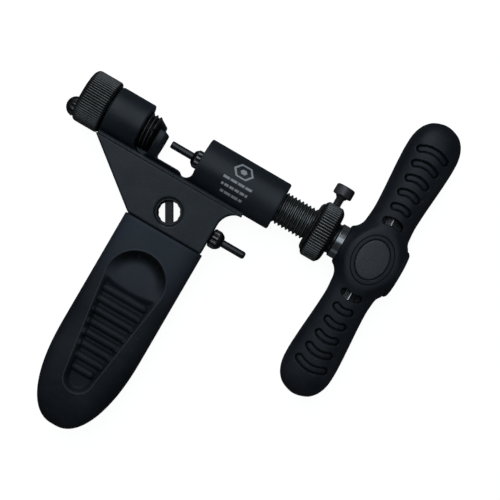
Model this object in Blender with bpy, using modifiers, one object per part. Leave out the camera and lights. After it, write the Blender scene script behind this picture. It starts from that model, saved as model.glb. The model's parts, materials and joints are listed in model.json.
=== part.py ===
"""Chain tool: a forged frame with a rubber grip, a threaded spindle with a T-handle and
stop ring, an adjustable anvil screw and a spare pin.

Metres. The tool lies flat: X runs along the spindle towards the T-handle, Y points away
from the grip, Z is up out of the plate's face. The origin is on the chain shelf, in the
middle of the chain slot.
"""

import math

import bmesh
import bpy
import numpy as np

MM = 0.001
GAP = 0.3 * MM
SEGMENTS = 40
SMALL_SEGMENTS = 24
SMALL_RADIUS = 5.0 * MM
BEYOND = 1.0 * MM

# Frame
AXIS_Y = 7.0 * MM
BARREL_RADIUS = 9.27 * MM
BARREL_END = 40.6 * MM
BOSS_END = -30.1 * MM
EDGE = 0.5 * MM
SLOT_HALF = 7.5 * MM
SLOT_FILLET = 1.0 * MM
SHELF_FLAT_END = 2.0 * MM
NOTCH_CENTRE = (4.9 * MM, 1.4 * MM)
NOTCH_RADIUS = 2.55 * MM
WALL_LEFT = -10.3 * MM
WALL_TOP = 9.6 * MM
WALL_SEAT_RADIUS = 5.5 * MM
WALL_SEAT_RIGHT = -8.7 * MM
PIN_HOLE_RADIUS = 2.2 * MM
WINDOW_LEFT = -16.3 * MM
WINDOW_BOTTOM = -1.7 * MM
WINDOW_BACK = -1.2 * MM
PLATE_HALF = 5.5 * MM
PLATE_TOP = -3.0 * MM
PLATE_LEFT = -29.8 * MM
PLATE_BOTTOM = -22.2 * MM
PLATE_SEAM_LEFT = -5.9 * MM
PLATE_RIGHT = 24.3 * MM
CORNER_RADIUS = 7.0 * MM
CORNER_DROP = 6.93 * MM
NECK_HALF = 4.0 * MM
NECK_LEFT = -29.9 * MM
NECK_RIGHT = 28.2 * MM
TANG_HALF_WIDTH = 9.0 * MM
TANG_HALF = 3.2 * MM
TANG_END = -86.0 * MM

# Round window and its insert
ROUND_WINDOW = (6.95 * MM, -14.8 * MM)
ROUND_WINDOW_RADIUS = 5.0 * MM
INSERT_INNER = 4.25 * MM
INSERT_HALF = 4.6 * MM
BAR_HALF_WIDTH = 1.5 * MM
BAR_TURN = math.radians(120.25)

# Grip
GRIP_X = 9.3 * MM
GRIP_HALF_WIDTH = 15.93 * MM
GRIP_HALF = 10.4 * MM
GRIP_TOP = PLATE_BOTTOM - GAP
GRIP_STRAIGHT_END = -67.0 * MM
GRIP_END = -102.5 * MM
RECESS_DEPTH = 1.3 * MM
# place along the grip, radius
RECESS_TOP = (-42.4 * MM, 11.3 * MM)
RECESS_BOTTOM = (-82.4 * MM, 5.6 * MM)
RIB_RADIUS = 1.2 * MM
RIB_ROOT = 0.5 * MM
RIB_SINK = 0.4 * MM
# place along the grip, half length (mm)
RIBS = [(-49.4, 8.95), (-53.7, 8.75), (-57.9, 8.5), (-62.4, 8.1), (-66.5, 7.6), (-70.7, 6.9),
        (-75.1, 5.7), (-79.4, 4.5)]

# Anvil
ANVIL_RADIUS = 6.7 * MM
ANVIL_LEFT = -37.5 * MM
CONE_START = -12.0 * MM
CONE_EDGE = 0.6 * MM
ANVIL_TIP = -9.0 * MM
CONE_RADIUS = 6.1 * MM
TIP_RADIUS = 4.3 * MM
CUP_OUTER = 3.2 * MM
CUP_INNER = 1.9 * MM
CUP_LEFT = -13.0 * MM
CUP_FLOOR = 0.8 * MM
KNOB_LEFT = -41.4 * MM
KNOB_RIGHT = -30.5 * MM
KNOB_RADIUS = 10.3 * MM
KNOB_EDGE = 0.8 * MM
STUD_OFFSET = 5.6 * MM
STUD_RADIUS = 3.85 * MM
STUD_TIP = -45.3 * MM
STUD_SHANK = 1.6 * MM
STUD_DEPTH = 2.7 * MM

# Spindle
SPINDLE_RADIUS = 6.25 * MM
SPINDLE_LEFT = 12.5 * MM
THREAD_END = 62.7 * MM
NECK_RADIUS = 5.6 * MM
NECK_END = 64.5 * MM
COLLAR_RADIUS = 6.55 * MM
SPINDLE_RIGHT = 86.0 * MM
HOLDER_RADIUS = 3.53 * MM
HOLDER_LEFT = 4.1 * MM
HOLDER_NOSE = 2.4 * MM
HOLDER_CONE = 1.2 * MM
HOLDER_SHANK = 2.5 * MM
HOLDER_SHANK_END = 19.5 * MM
PIN_RADIUS = 1.4 * MM
PIN_TIP = -4.8 * MM
PIN_END = 16.0 * MM
PIN_EDGE = 0.2 * MM

# Stop ring and thumb screw
RING_LEFT = 54.6 * MM
RING_RIGHT = 62.7 * MM
RING_RADIUS = 10.95 * MM
RING_EDGE = 1.1 * MM
WASHER_LEFT = 53.5 * MM
WASHER_RADIUS = 9.1 * MM
SLEEVE_RADIUS = 7.5 * MM
SLEEVE_END = 55.6 * MM
THUMB_X = 58.2 * MM
THUMB_RADIUS = 1.65 * MM
THUMB_HEAD_RADIUS = 3.65 * MM
THUMB_HEAD_EDGE = 0.6 * MM
THUMB_CONE_RADIUS = 2.5 * MM
THUMB_HEAD_BOTTOM = 21.6 * MM
THUMB_TOP = 25.6 * MM
PAD_RADIUS = 1.5 * MM
PAD_BOTTOM = AXIS_Y + SPINDLE_RADIUS + GAP
PAD_TOP = PAD_BOTTOM + 1.0 * MM

# T-handle
HANDLE_X = 78.8 * MM
HANDLE_HALF_LENGTH = 56.0 * MM
CROSS_BAR_RADIUS = 3.0 * MM
CROSS_BAR_HALF = 40.0 * MM
CROSS_BAR_EDGE = 0.4 * MM
HANDLE_POWER = 2.6
HUB_LEFT = 66.8 * MM
HUB_LEFT_RADIUS = 7.7 * MM
HUB_RADIUS = 9.6 * MM
HUB_HALF = 6.0 * MM
HUB_RIGHT = 88.3 * MM
HUB_BORE_END = 86.4 * MM
CAP_RADIUS = 9.35 * MM
CAP_RIGHT = 90.4 * MM
CAP_EDGE = 0.7 * MM
CAP_PLUG_RADIUS = 5.0 * MM
BADGE_HALF_X = 5.8 * MM
BADGE_HALF_Y = 7.45 * MM
BADGE_FACE = 10.3 * MM
BADGE_THICKNESS = 0.9 * MM
BADGE_SIDES = 32
GRUB_RADIUS = 2.0 * MM
# distance from the spindle, half width, half thickness (mm)
HANDLE_SHAPE = [(0, 9.7, 10.4), (6, 9.6, 10.4), (10, 9.2, 10.0), (13, 8.7, 9.3), (17, 8.4, 8.6),
                (23, 8.6, 8.2), (30, 9.1, 8.1), (37, 9.6, 8.2), (43, 9.8, 8.2), (47, 9.5, 7.9),
                (50, 8.6, 7.2), (52.5, 7.2, 6.1), (54.6, 4.9, 4.4), (56.0, 1.6, 1.6)]
# distance from the spindle, full width (mm)
POCKETS = [(15.1, 7.9), (20.9, 7.9), (26.7, 8.7), (32.5, 9.3), (38.3, 10.6), (44.1, 12.5)]
POCKET_BAND = 2.4 * MM
POCKET_BEND = 0.16
POCKET_SHIFT = 0.4 * MM
POCKET_DEPTH = 1.6 * MM
OPEN_POCKET_FLOOR = 2.0 * MM

# Spare pin
SPARE_Y = -14.9 * MM
SPARE_HEAD_LEFT = 24.6 * MM
SPARE_HEAD_RIGHT = 29.3 * MM
SPARE_RADIUS = 3.65 * MM
SPARE_NOSE = [(2.2 * MM, 0.0), (3.2 * MM, 0.9 * MM), (SPARE_RADIUS, 2.5 * MM)]
SPARE_HEAD_EDGE = 0.4 * MM
SPARE_HOLE_LEFT = 14.8 * MM
SPARE_TIP_EDGE = 0.35 * MM
SPARE_SHANK_LEFT = 15.4 * MM
SPARE_PIN_LEFT = 19.0 * MM
SPARE_TIP = 38.7 * MM


def clear_scene():
    for item in list(bpy.data.objects):
        bpy.data.objects.remove(item, do_unlink=True)


def collection(name):
    made = bpy.data.collections.new(name)
    bpy.context.scene.collection.children.link(made)
    return made


def finish(name, colour, roughness, metallic):
    """A plain Principled material."""
    made = bpy.data.materials.new(name)
    made.use_nodes = True
    shader = made.node_tree.nodes["Principled BSDF"]
    shader.inputs["Base Color"].default_value = (*colour, 1)
    shader.inputs["Roughness"].default_value = roughness
    shader.inputs["Metallic"].default_value = metallic
    return made


def place(name, mesh, where, material=None):
    made = bpy.data.objects.new(name, mesh)
    where.objects.link(made)
    if material:
        mesh.materials.append(material)
    else:
        made.hide_render = True
        made.display_type = "WIRE"
    return made


def turned(name, profile, centre, axis, where, material=None, closed=False):
    """A turned solid. The profile's (radius, distance along the axis) points run down its outer side."""
    points = [(radius, 0, along) for radius, along in profile]
    edges = [(i, i + 1) for i in range(len(points) - 1)]
    if closed:
        edges.append((len(points) - 1, 0))
    mesh = bpy.data.meshes.new(name)
    mesh.from_pydata(points, edges, [])
    made = place(name, mesh, where, material)
    screw = made.modifiers.new("turn", "SCREW")
    screw.axis = "Z"
    steps = SEGMENTS if max(radius for radius, _ in profile) > SMALL_RADIUS else SMALL_SEGMENTS
    screw.steps = steps
    screw.render_steps = steps
    screw.use_merge_vertices = True
    screw.merge_threshold = 0.00001
    screw.use_smooth_shade = False
    quarter = math.pi / 2
    made.rotation_euler = {"X": (0, quarter, 0), "Y": (-quarter, 0, 0), "Z": (0, 0, 0)}[axis]
    made.location = centre
    return made


def rod(name, radius, low, high, centre, axis, where, material=None, edge=0.0):
    """A turned rod between two distances along its axis."""
    profile = [(0, high), (radius - edge, high), (radius, high - edge),
               (radius, low + edge), (radius - edge, low), (0, low)]
    if not edge:
        profile = [(0, high), (radius, high), (radius, low), (0, low)]
    return turned(name, profile, centre, axis, where, material)


def arc(centre, radius, start, end, steps):
    """Points on an arc, angles in degrees."""
    angles = np.radians(np.linspace(start, end, steps + 1))
    return [(centre[0] + radius * math.cos(a), centre[1] + radius * math.sin(a)) for a in angles]


def prism(name, outline, low, high, where, material=None):
    """A flat outline in X and Y, filled and extruded from low to high along Z."""
    curve = bpy.data.curves.new(name, "CURVE")
    curve.dimensions = "2D"
    curve.fill_mode = "BOTH"
    curve.extrude = (high - low) / 2
    spline = curve.splines.new("POLY")
    spline.points.add(len(outline) - 1)
    for point, (x, y) in zip(spline.points, outline):
        point.co = (x, y, 0, 1)
    spline.use_cyclic_u = True
    guide = bpy.data.objects.new(name + "_outline", curve)
    where.objects.link(guide)
    graph = bpy.context.evaluated_depsgraph_get()
    mesh = bpy.data.meshes.new_from_object(guide.evaluated_get(graph))
    bpy.data.objects.remove(guide)
    work = bmesh.new()
    work.from_mesh(mesh)
    bmesh.ops.remove_doubles(work, verts=work.verts, dist=0.000001)
    bmesh.ops.recalc_face_normals(work, faces=work.faces)
    bmesh.ops.translate(work, verts=work.verts, vec=(0, 0, (low + high) / 2))
    work.to_mesh(mesh)
    work.free()
    mesh.name = name
    return place(name, mesh, where, material)


def loft(name, rings, where, material=None):
    """A skin through closed rings of points, with both ends closed."""
    work = bmesh.new()
    rows = [[work.verts.new(point) for point in ring] for ring in rings]
    for row, following in zip(rows, rows[1:]):
        for i in range(len(row)):
            k = (i + 1) % len(row)
            work.faces.new((row[i], row[k], following[k], following[i]))
    work.faces.new(rows[0])
    work.faces.new(rows[-1])
    bmesh.ops.recalc_face_normals(work, faces=work.faces)
    bmesh.ops.triangulate(work, faces=work.faces)
    mesh = bpy.data.meshes.new(name)
    work.to_mesh(mesh)
    work.free()
    return place(name, mesh, where, material)


def gathered(name, prisms, where):
    """Prisms that stand clear of each other, made one cutter."""
    work = bmesh.new()
    for part in prisms:
        work.from_mesh(part.data)
        bpy.data.objects.remove(part)
    mesh = bpy.data.meshes.new(name)
    work.to_mesh(mesh)
    work.free()
    return place(name, mesh, where)


def oval_ring(x, y, half_width, half_thickness, power, count):
    """A superellipse in the plane at y, centred on x."""
    ring = []
    for k in range(count):
        a = 2 * math.pi * (k + 0.5) / count
        c, s = math.cos(a), math.sin(a)
        ring.append((x + half_width * math.copysign(abs(c) ** (2 / power), c), y,
                     half_thickness * math.copysign(abs(s) ** (2 / power), s)))
    return ring


def boolean(target, tool, operation, solver="EXACT"):
    step = target.modifiers.new(tool.name, "BOOLEAN")
    step.operation = operation
    step.solver = solver
    step.object = tool


def cut(target, *tools, solver="EXACT"):
    for tool in tools:
        boolean(target, tool, "DIFFERENCE", solver)


def join(target, *tools):
    for tool in tools:
        boolean(target, tool, "UNION")


def box(name, low, high, where, material=None):
    return prism(name, [(low[0], low[1]), (high[0], low[1]), (high[0], high[1]), (low[0], high[1])],
                 low[2], high[2], where, material)


def on_axis(y=AXIS_Y):
    return (0, y, 0)


def plate_outline():
    """Diagonal on the left, seam along the grip, concave corner under the barrel."""
    corner = (PLATE_RIGHT + CORNER_RADIUS, PLATE_TOP - CORNER_DROP)
    return [(PLATE_LEFT, PLATE_TOP), (PLATE_LEFT, PLATE_TOP - EDGE),
            (PLATE_SEAM_LEFT, PLATE_BOTTOM), (PLATE_RIGHT, PLATE_BOTTOM),
            *arc(corner, CORNER_RADIUS, 180, 98, 8)]


def tang_outline():
    left, right = GRIP_X - TANG_HALF_WIDTH, GRIP_X + TANG_HALF_WIDTH
    end = arc((GRIP_X, TANG_END + TANG_HALF_WIDTH), TANG_HALF_WIDTH, 180, 360, 12)
    return [(right, PLATE_BOTTOM + BEYOND), (left, PLATE_BOTTOM + BEYOND), *end]


def slot_outline():
    """The chain slot: a flat shelf, then a round notch beside the barrel."""
    top = AXIS_Y + BARREL_RADIUS + BEYOND
    corner = (-SLOT_HALF + SLOT_FILLET, SLOT_FILLET)
    notch = arc(NOTCH_CENTRE, NOTCH_RADIUS, 214, 360, 10)
    notch_top = NOTCH_CENTRE[1] + 0.8 * MM
    return [(-SLOT_HALF, top), *arc(corner, SLOT_FILLET, 180, 270, 4),
            (SHELF_FLAT_END, 0), *notch, (SLOT_HALF, notch_top), (SLOT_HALF, top)]


def window_outline():
    """The upright window beside the anvil wall, with a round bottom."""
    radius = (WALL_LEFT - WINDOW_LEFT) / 2
    middle = (WALL_LEFT + WINDOW_LEFT) / 2
    top = AXIS_Y + BARREL_RADIUS + BEYOND
    return [(WINDOW_LEFT, top), *arc((middle, WINDOW_BOTTOM + radius), radius, 180, 360, 12),
            (WALL_LEFT, top)]


def frame_body(parts, cutters, steel):
    """Boss, anvil wall, shelf and barrel turned as one bar, joined to the plate and its tang."""
    body = rod("frame_body", BARREL_RADIUS, BOSS_END, BARREL_END, on_axis(), "X", parts, steel, EDGE)
    reach = BARREL_RADIUS + BEYOND
    high = AXIS_Y + reach
    join(body,
         box("neck", (NECK_LEFT, PLATE_TOP - EDGE, -NECK_HALF), (NECK_RIGHT, EDGE, NECK_HALF),
             cutters),
         prism("plate", plate_outline(), -PLATE_HALF, PLATE_HALF, cutters),
         prism("tang", tang_outline(), -TANG_HALF, TANG_HALF, cutters))
    cut(body,
        prism("chain_slot", slot_outline(), -reach, reach, cutters),
        box("wall_top", (WALL_LEFT - EDGE, WALL_TOP, -reach), (-SLOT_HALF + EDGE, high, reach),
            cutters),
        prism("anvil_window", window_outline(), WINDOW_BACK, reach, cutters),
        box("anvil_window_top", (WINDOW_LEFT, AXIS_Y - 0.7 * MM, -reach),
            (WALL_LEFT, high, 0), cutters),
        rod("anvil_bore", ANVIL_RADIUS + GAP, BOSS_END - BEYOND, WALL_LEFT - 0.1 * MM, on_axis(),
            "X", cutters),
        rod("wall_seat", WALL_SEAT_RADIUS, WALL_LEFT - BEYOND, WALL_SEAT_RIGHT, on_axis(), "X",
            cutters),
        rod("pin_hole", PIN_HOLE_RADIUS, WALL_SEAT_RIGHT - GAP, -SLOT_HALF + BEYOND, on_axis(), "X",
            cutters),
        rod("spindle_bore", SPINDLE_RADIUS + GAP, SLOT_HALF - BEYOND, BARREL_END + BEYOND,
            on_axis(), "X", cutters),
        rod("round_window", ROUND_WINDOW_RADIUS, -reach, reach, (*ROUND_WINDOW, 0), "Z", cutters),
        rod("spare_pin_hole", HOLDER_SHANK + GAP, SPARE_HOLE_LEFT, PLATE_RIGHT + BEYOND,
            on_axis(SPARE_Y), "X", cutters))


def window_insert(parts, cutters, steel):
    """A ring with one flat bar across it."""
    outer = ROUND_WINDOW_RADIUS - GAP
    profile = [(outer, INSERT_HALF), (outer, -INSERT_HALF), (INSERT_INNER, -INSERT_HALF),
               (INSERT_INNER, INSERT_HALF)]
    ring = turned("window_insert", profile, (*ROUND_WINDOW, 0), "Z", parts, steel, closed=True)
    reach = INSERT_INNER + 0.2 * MM
    bar = box("insert_bar", (-reach, -BAR_HALF_WIDTH, -BAR_HALF_WIDTH),
              (reach, BAR_HALF_WIDTH, BAR_HALF_WIDTH), cutters)
    bar.location = (*ROUND_WINDOW, 0)
    bar.rotation_euler = (0, 0, BAR_TURN)
    join(ring, bar)


def grip_size(y):
    """Half width and half thickness of the grip at a distance down it."""
    t = max(0.0, (GRIP_STRAIGHT_END - y) / (GRIP_STRAIGHT_END - GRIP_END))
    width = GRIP_HALF_WIDTH * (1 - min(t, 1) ** 2.3) ** (1 / 2.3)
    thick = GRIP_HALF * (1 - min(t, 1) ** 3) ** (1 / 3)
    return width, thick


def recess_outline():
    """A teardrop: a large arc above, a small one below, joined by straight sides."""
    top, bottom = RECESS_TOP, RECESS_BOTTOM
    slope = math.degrees(math.asin((top[1] - bottom[1]) / (top[0] - bottom[0])))
    return [*arc((GRIP_X, top[0]), top[1], -slope, 180 + slope, 16),
            *arc((GRIP_X, bottom[0]), bottom[1], 180 + slope, 360 - slope, 10)]


def rib_outline(y, half_length):
    right = (GRIP_X + half_length - RIB_RADIUS, y)
    left = (GRIP_X - half_length + RIB_RADIUS, y)
    return [*arc(right, RIB_RADIUS, -90, 90, 3), *arc(left, RIB_RADIUS, 90, 270, 3)]


def grip_sleeve(parts, cutters, rubber):
    straight = np.linspace(GRIP_TOP, GRIP_STRAIGHT_END, 3)
    turning = np.sin(np.radians([18, 34, 48, 60, 70, 78, 84.5]))
    curved = GRIP_STRAIGHT_END + (GRIP_END - GRIP_STRAIGHT_END) * turning
    rings = [oval_ring(GRIP_X, y, *grip_size(y), 4.2, 28) for y in (*straight, *curved)]
    rings.append(oval_ring(GRIP_X, GRIP_END, 1.5 * MM, 1.5 * MM, 2, 28))
    grip = loft("grip_sleeve", rings, parts, rubber)
    floor = GRIP_HALF - RECESS_DEPTH
    above = GRIP_HALF + BEYOND
    cut(grip, box("tang_pocket", (GRIP_X - TANG_HALF_WIDTH - GAP, TANG_END - GAP, -TANG_HALF - GAP),
                  (GRIP_X + TANG_HALF_WIDTH + GAP, GRIP_TOP + BEYOND, TANG_HALF + GAP), cutters))
    for side in (1, -1):
        low, high = sorted((side * floor, side * above))
        cut(grip, prism(f"recess_{side}", recess_outline(), low, high, cutters))
        rib_low, rib_high = sorted((side * (floor - RIB_ROOT), side * (GRIP_HALF - RIB_SINK)))
        ribs = [prism("rib", rib_outline(y * MM, half_length * MM), rib_low, rib_high, cutters)
                for y, half_length in RIBS]
        join(grip, gathered(f"ribs_{side}", ribs, cutters))


def anvil(parts, cutters, steel, bright):
    """The screw with its cup, and the knob with its stud."""
    screw = turned("anvil_screw", [(0, ANVIL_TIP), (TIP_RADIUS, ANVIL_TIP), (CONE_RADIUS, CONE_START),
                                   (ANVIL_RADIUS, CONE_START - CONE_EDGE), (ANVIL_RADIUS, ANVIL_LEFT),
                                   (0, ANVIL_LEFT)], on_axis(), "X", parts, steel)
    cut(screw, rod("cup_seat", CUP_OUTER + GAP, CUP_LEFT - GAP, ANVIL_TIP + BEYOND, on_axis(), "X",
                   cutters))
    cup_floor = CUP_LEFT + CUP_FLOOR
    turned("anvil_cup", [(0, cup_floor), (CUP_INNER, cup_floor), (CUP_INNER, ANVIL_TIP),
                         (CUP_OUTER, ANVIL_TIP), (CUP_OUTER, CUP_LEFT), (0, CUP_LEFT)],
           on_axis(), "X", parts, bright)
    knob = rod("anvil_knob", KNOB_RADIUS, KNOB_LEFT, KNOB_RIGHT, on_axis(), "X", parts, steel,
               KNOB_EDGE)
    cut(knob, rod("knob_bore", ANVIL_RADIUS + GAP, ANVIL_LEFT - GAP, KNOB_RIGHT + BEYOND, on_axis(),
                  "X", cutters),
        rod("stud_hole", STUD_SHANK + GAP, KNOB_LEFT - BEYOND, KNOB_LEFT + STUD_DEPTH + GAP,
            on_axis(AXIS_Y - STUD_OFFSET), "X", cutters))
    face = KNOB_LEFT - GAP
    dome = [(STUD_RADIUS * math.cos(a), face + (STUD_TIP - face) * math.sin(a))
            for a in np.radians([0, 15, 30, 45, 60, 75])]
    turned("knob_stud", [(0, KNOB_LEFT + STUD_DEPTH), (STUD_SHANK, KNOB_LEFT + STUD_DEPTH),
                         (STUD_SHANK, face), *dome, (0, STUD_TIP)],
           on_axis(AXIS_Y - STUD_OFFSET), "X", parts, steel)


def spindle(parts, cutters, steel, bright):
    """Threaded spindle, the driver pin and the chuck that holds it."""
    screw = turned("spindle_screw",
                   [(0, SPINDLE_RIGHT), (COLLAR_RADIUS, SPINDLE_RIGHT), (COLLAR_RADIUS, NECK_END),
                    (NECK_RADIUS, NECK_END), (NECK_RADIUS, THREAD_END), (SPINDLE_RADIUS, THREAD_END),
                    (SPINDLE_RADIUS, SPINDLE_LEFT + EDGE), (SPINDLE_RADIUS - EDGE, SPINDLE_LEFT),
                    (0, SPINDLE_LEFT)], on_axis(), "X", parts, steel)
    cut(screw, rod("chuck_hole", HOLDER_SHANK + GAP, SPINDLE_LEFT - BEYOND, HOLDER_SHANK_END + GAP,
                   on_axis(), "X", cutters),
        rod("bar_hole", CROSS_BAR_RADIUS + GAP, -COLLAR_RADIUS - BEYOND, COLLAR_RADIUS + BEYOND,
            (HANDLE_X, AXIS_Y, 0), "Y", cutters),
        rod("grub_hole", GRUB_RADIUS + GAP, HANDLE_X, SPINDLE_RIGHT + BEYOND, on_axis(), "X",
            cutters))
    shoulder = SPINDLE_LEFT - GAP
    holder = turned("pin_holder",
                    [(0, HOLDER_SHANK_END), (HOLDER_SHANK, HOLDER_SHANK_END),
                     (HOLDER_SHANK, shoulder), (HOLDER_RADIUS, shoulder),
                     (HOLDER_RADIUS, HOLDER_LEFT + HOLDER_CONE), (HOLDER_NOSE, HOLDER_LEFT),
                     (0, HOLDER_LEFT)], on_axis(), "X", parts, steel)
    cut(holder, rod("pin_seat", PIN_RADIUS + GAP, HOLDER_LEFT - BEYOND, PIN_END + GAP, on_axis(),
                    "X", cutters))
    rod("driver_pin", PIN_RADIUS, PIN_TIP, PIN_END, on_axis(), "X", parts, bright, PIN_EDGE)
    rod("bar_lock_screw", GRUB_RADIUS, HANDLE_X + CROSS_BAR_RADIUS + GAP, SPINDLE_RIGHT, on_axis(),
        "X", parts, steel)


def stop_ring(parts, cutters, steel, nylon):
    bore = SPINDLE_RADIUS + GAP
    turned("stop_washer", [(WASHER_RADIUS, RING_LEFT - GAP), (WASHER_RADIUS, WASHER_LEFT),
                           (bore, WASHER_LEFT), (bore, SLEEVE_END), (SLEEVE_RADIUS, SLEEVE_END),
                           (SLEEVE_RADIUS, RING_LEFT - GAP)], on_axis(), "X", parts, steel,
           closed=True)
    seat = SLEEVE_END + GAP
    ring = turned("stop_ring",
                  [(bore, RING_RIGHT), (RING_RADIUS - RING_EDGE, RING_RIGHT),
                   (RING_RADIUS, RING_RIGHT - RING_EDGE), (RING_RADIUS, RING_LEFT + RING_EDGE),
                   (RING_RADIUS - RING_EDGE, RING_LEFT), (SLEEVE_RADIUS + GAP, RING_LEFT),
                   (SLEEVE_RADIUS + GAP, seat), (bore, seat)], on_axis(), "X", parts, steel,
                  closed=True)
    cut(ring, rod("thumb_hole", THUMB_RADIUS + GAP, AXIS_Y, THUMB_HEAD_BOTTOM, (THUMB_X, 0, 0), "Y",
                  cutters))
    turned("thumb_screw", [(0, THUMB_TOP), (THUMB_HEAD_RADIUS - THUMB_HEAD_EDGE, THUMB_TOP),
                           (THUMB_HEAD_RADIUS, THUMB_TOP - THUMB_HEAD_EDGE),
                           (THUMB_HEAD_RADIUS, THUMB_HEAD_BOTTOM),
                           (THUMB_CONE_RADIUS, THUMB_HEAD_BOTTOM),
                           (THUMB_RADIUS, THUMB_HEAD_BOTTOM - 1 * MM),
                           (THUMB_RADIUS, PAD_TOP + GAP), (0, PAD_TOP + GAP)],
           (THUMB_X, 0, 0), "Y", parts, steel)
    rod("clamp_pad", PAD_RADIUS, PAD_BOTTOM, PAD_TOP, (THUMB_X, 0, 0), "Y", parts, nylon)


def pocket_outline(distance, width, end):
    """A crescent that bulges towards the lobe's end."""
    half = width / 2
    rise = POCKET_BEND * width
    radius = (half * half + rise * rise) / (2 * rise)
    spread = math.degrees(math.asin(half / radius))
    middle = AXIS_Y + end * distance
    low = middle - end * (radius + POCKET_SHIFT)
    turn = 90 * end
    outer = arc((HANDLE_X, low + end * POCKET_BAND / 2), radius, turn + spread, turn - spread, 4)
    inner = arc((HANDLE_X, low - end * POCKET_BAND / 2), radius, turn - spread, turn + spread, 4)
    return outer + inner


def badge_outline(beyond):
    """The oval in the middle of the T-handle, larger all round by beyond."""
    half_x, half_y = BADGE_HALF_X + beyond, BADGE_HALF_Y + beyond
    return [(HANDLE_X + half_x * math.cos(a), AXIS_Y + half_y * math.sin(a))
            for a in np.linspace(0, 2 * math.pi, BADGE_SIDES, endpoint=False)]


def handle_thickness(distance):
    shape = np.array(HANDLE_SHAPE)
    return float(np.interp(distance / MM, shape[:, 0], shape[:, 2])) * MM


def t_handle(parts, cutters, rubber, steel, bright):
    """The moulded cover, the bar inside it, the cap on its hub and the two inlays."""
    reach = [(-d, w, t) for d, w, t in HANDLE_SHAPE[:0:-1]] + HANDLE_SHAPE
    rings = [oval_ring(HANDLE_X, AXIS_Y + d * MM, w * MM, t * MM, HANDLE_POWER, 24)
             for d, w, t in reach]
    cover = loft("t_handle_cover", rings, parts, rubber)
    join(cover, turned("hub_boss", [(0, HUB_RIGHT), (CAP_RADIUS, HUB_RIGHT),
                                    (HUB_RADIUS + 0.1 * MM, HANDLE_X + HUB_HALF),
                                    (HUB_RADIUS, HANDLE_X - HUB_HALF),
                                    (HUB_LEFT_RADIUS, HUB_LEFT), (0, HUB_LEFT)],
                       on_axis(), "X", cutters))
    side = BEYOND + CAP_RADIUS + 2 * MM
    cap_bore, collar_bore = CAP_PLUG_RADIUS + GAP, COLLAR_RADIUS + GAP
    cut(cover,
        turned("hub_bore", [(0, HUB_RIGHT + BEYOND), (cap_bore, HUB_RIGHT + BEYOND),
                            (cap_bore, HUB_BORE_END), (collar_bore, HUB_BORE_END),
                            (collar_bore, HUB_LEFT - BEYOND), (0, HUB_LEFT - BEYOND)],
               on_axis(), "X", cutters),
        rod("bar_bore", CROSS_BAR_RADIUS + GAP, AXIS_Y - CROSS_BAR_HALF - GAP,
            AXIS_Y + CROSS_BAR_HALF + GAP, (HANDLE_X, 0, 0), "Y", cutters), solver="MANIFOLD")
    badge, seat = badge_outline(0), badge_outline(GAP)
    for name, face in (("front", 1), ("back", -1)):
        under = BADGE_FACE - BADGE_THICKNESS
        low, high = sorted((face * (under - GAP), face * side))
        cut(cover, prism(f"badge_seat_{name}", seat, low, high, cutters), solver="MANIFOLD")
        low, high = sorted((face * under, face * BADGE_FACE))
        prism(f"badge_{name}", badge, low, high, parts, rubber)
        pockets = []
        for k, (distance, width) in enumerate(POCKETS):
            floor = handle_thickness(distance * MM) - POCKET_DEPTH if k else OPEN_POCKET_FLOOR
            low, high = sorted((face * floor, face * side))
            pockets += [prism("pocket", pocket_outline(distance * MM, width * MM, end), low, high,
                              cutters) for end in (1, -1)]
        cut(cover, gathered(f"pockets_{name}", pockets, cutters), solver="MANIFOLD")
    rod("cross_bar", CROSS_BAR_RADIUS, AXIS_Y - CROSS_BAR_HALF, AXIS_Y + CROSS_BAR_HALF,
        (HANDLE_X, 0, 0), "Y", parts, bright, CROSS_BAR_EDGE)
    flange = HUB_RIGHT + GAP
    turned("hub_cap", [(0, CAP_RIGHT), (CAP_RADIUS - CAP_EDGE, CAP_RIGHT),
                       (CAP_RADIUS, CAP_RIGHT - CAP_EDGE), (CAP_RADIUS, flange),
                       (CAP_PLUG_RADIUS, flange), (CAP_PLUG_RADIUS, HUB_BORE_END),
                       (0, HUB_BORE_END)], on_axis(), "X", parts, steel)


def spare_pin(parts, cutters, steel, bright):
    left = SPARE_HEAD_LEFT
    holder = turned("spare_pin_holder",
                    [(0, SPARE_HEAD_RIGHT),
                     *((radius, SPARE_HEAD_RIGHT - back) for radius, back in SPARE_NOSE),
                     (SPARE_RADIUS, left + SPARE_HEAD_EDGE),
                     (SPARE_RADIUS - SPARE_HEAD_EDGE, left),
                     (HOLDER_SHANK, left), (HOLDER_SHANK, SPARE_SHANK_LEFT),
                     (0, SPARE_SHANK_LEFT)], on_axis(SPARE_Y), "X", parts, steel)
    cut(holder, rod("spare_seat", PIN_RADIUS + GAP, SPARE_PIN_LEFT - GAP,
                    SPARE_HEAD_RIGHT + BEYOND, on_axis(SPARE_Y), "X", cutters))
    rod("spare_pin", PIN_RADIUS, SPARE_PIN_LEFT, SPARE_TIP, on_axis(SPARE_Y), "X", parts, bright,
        SPARE_TIP_EDGE)


def main():
    clear_scene()
    parts = collection("chain_tool")
    cutters = collection("cutters")
    frame_steel = finish("frame_black", (0.030, 0.032, 0.038), 0.5, 0.4)
    black_oxide = finish("black_oxide", (0.025, 0.025, 0.027), 0.35, 0.9)
    bright = finish("bright_steel", (0.45, 0.45, 0.46), 0.3, 1.0)
    rubber = finish("black_rubber", (0.020, 0.021, 0.024), 0.6, 0.0)
    nylon = finish("nylon", (0.6, 0.6, 0.55), 0.5, 0.0)
    frame_body(parts, cutters, frame_steel)
    window_insert(parts, cutters, black_oxide)
    grip_sleeve(parts, cutters, rubber)
    anvil(parts, cutters, black_oxide, bright)
    spindle(parts, cutters, black_oxide, bright)
    stop_ring(parts, cutters, black_oxide, nylon)
    t_handle(parts, cutters, rubber, black_oxide, bright)
    spare_pin(parts, cutters, black_oxide, black_oxide)


main()
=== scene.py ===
import json
import math

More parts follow.
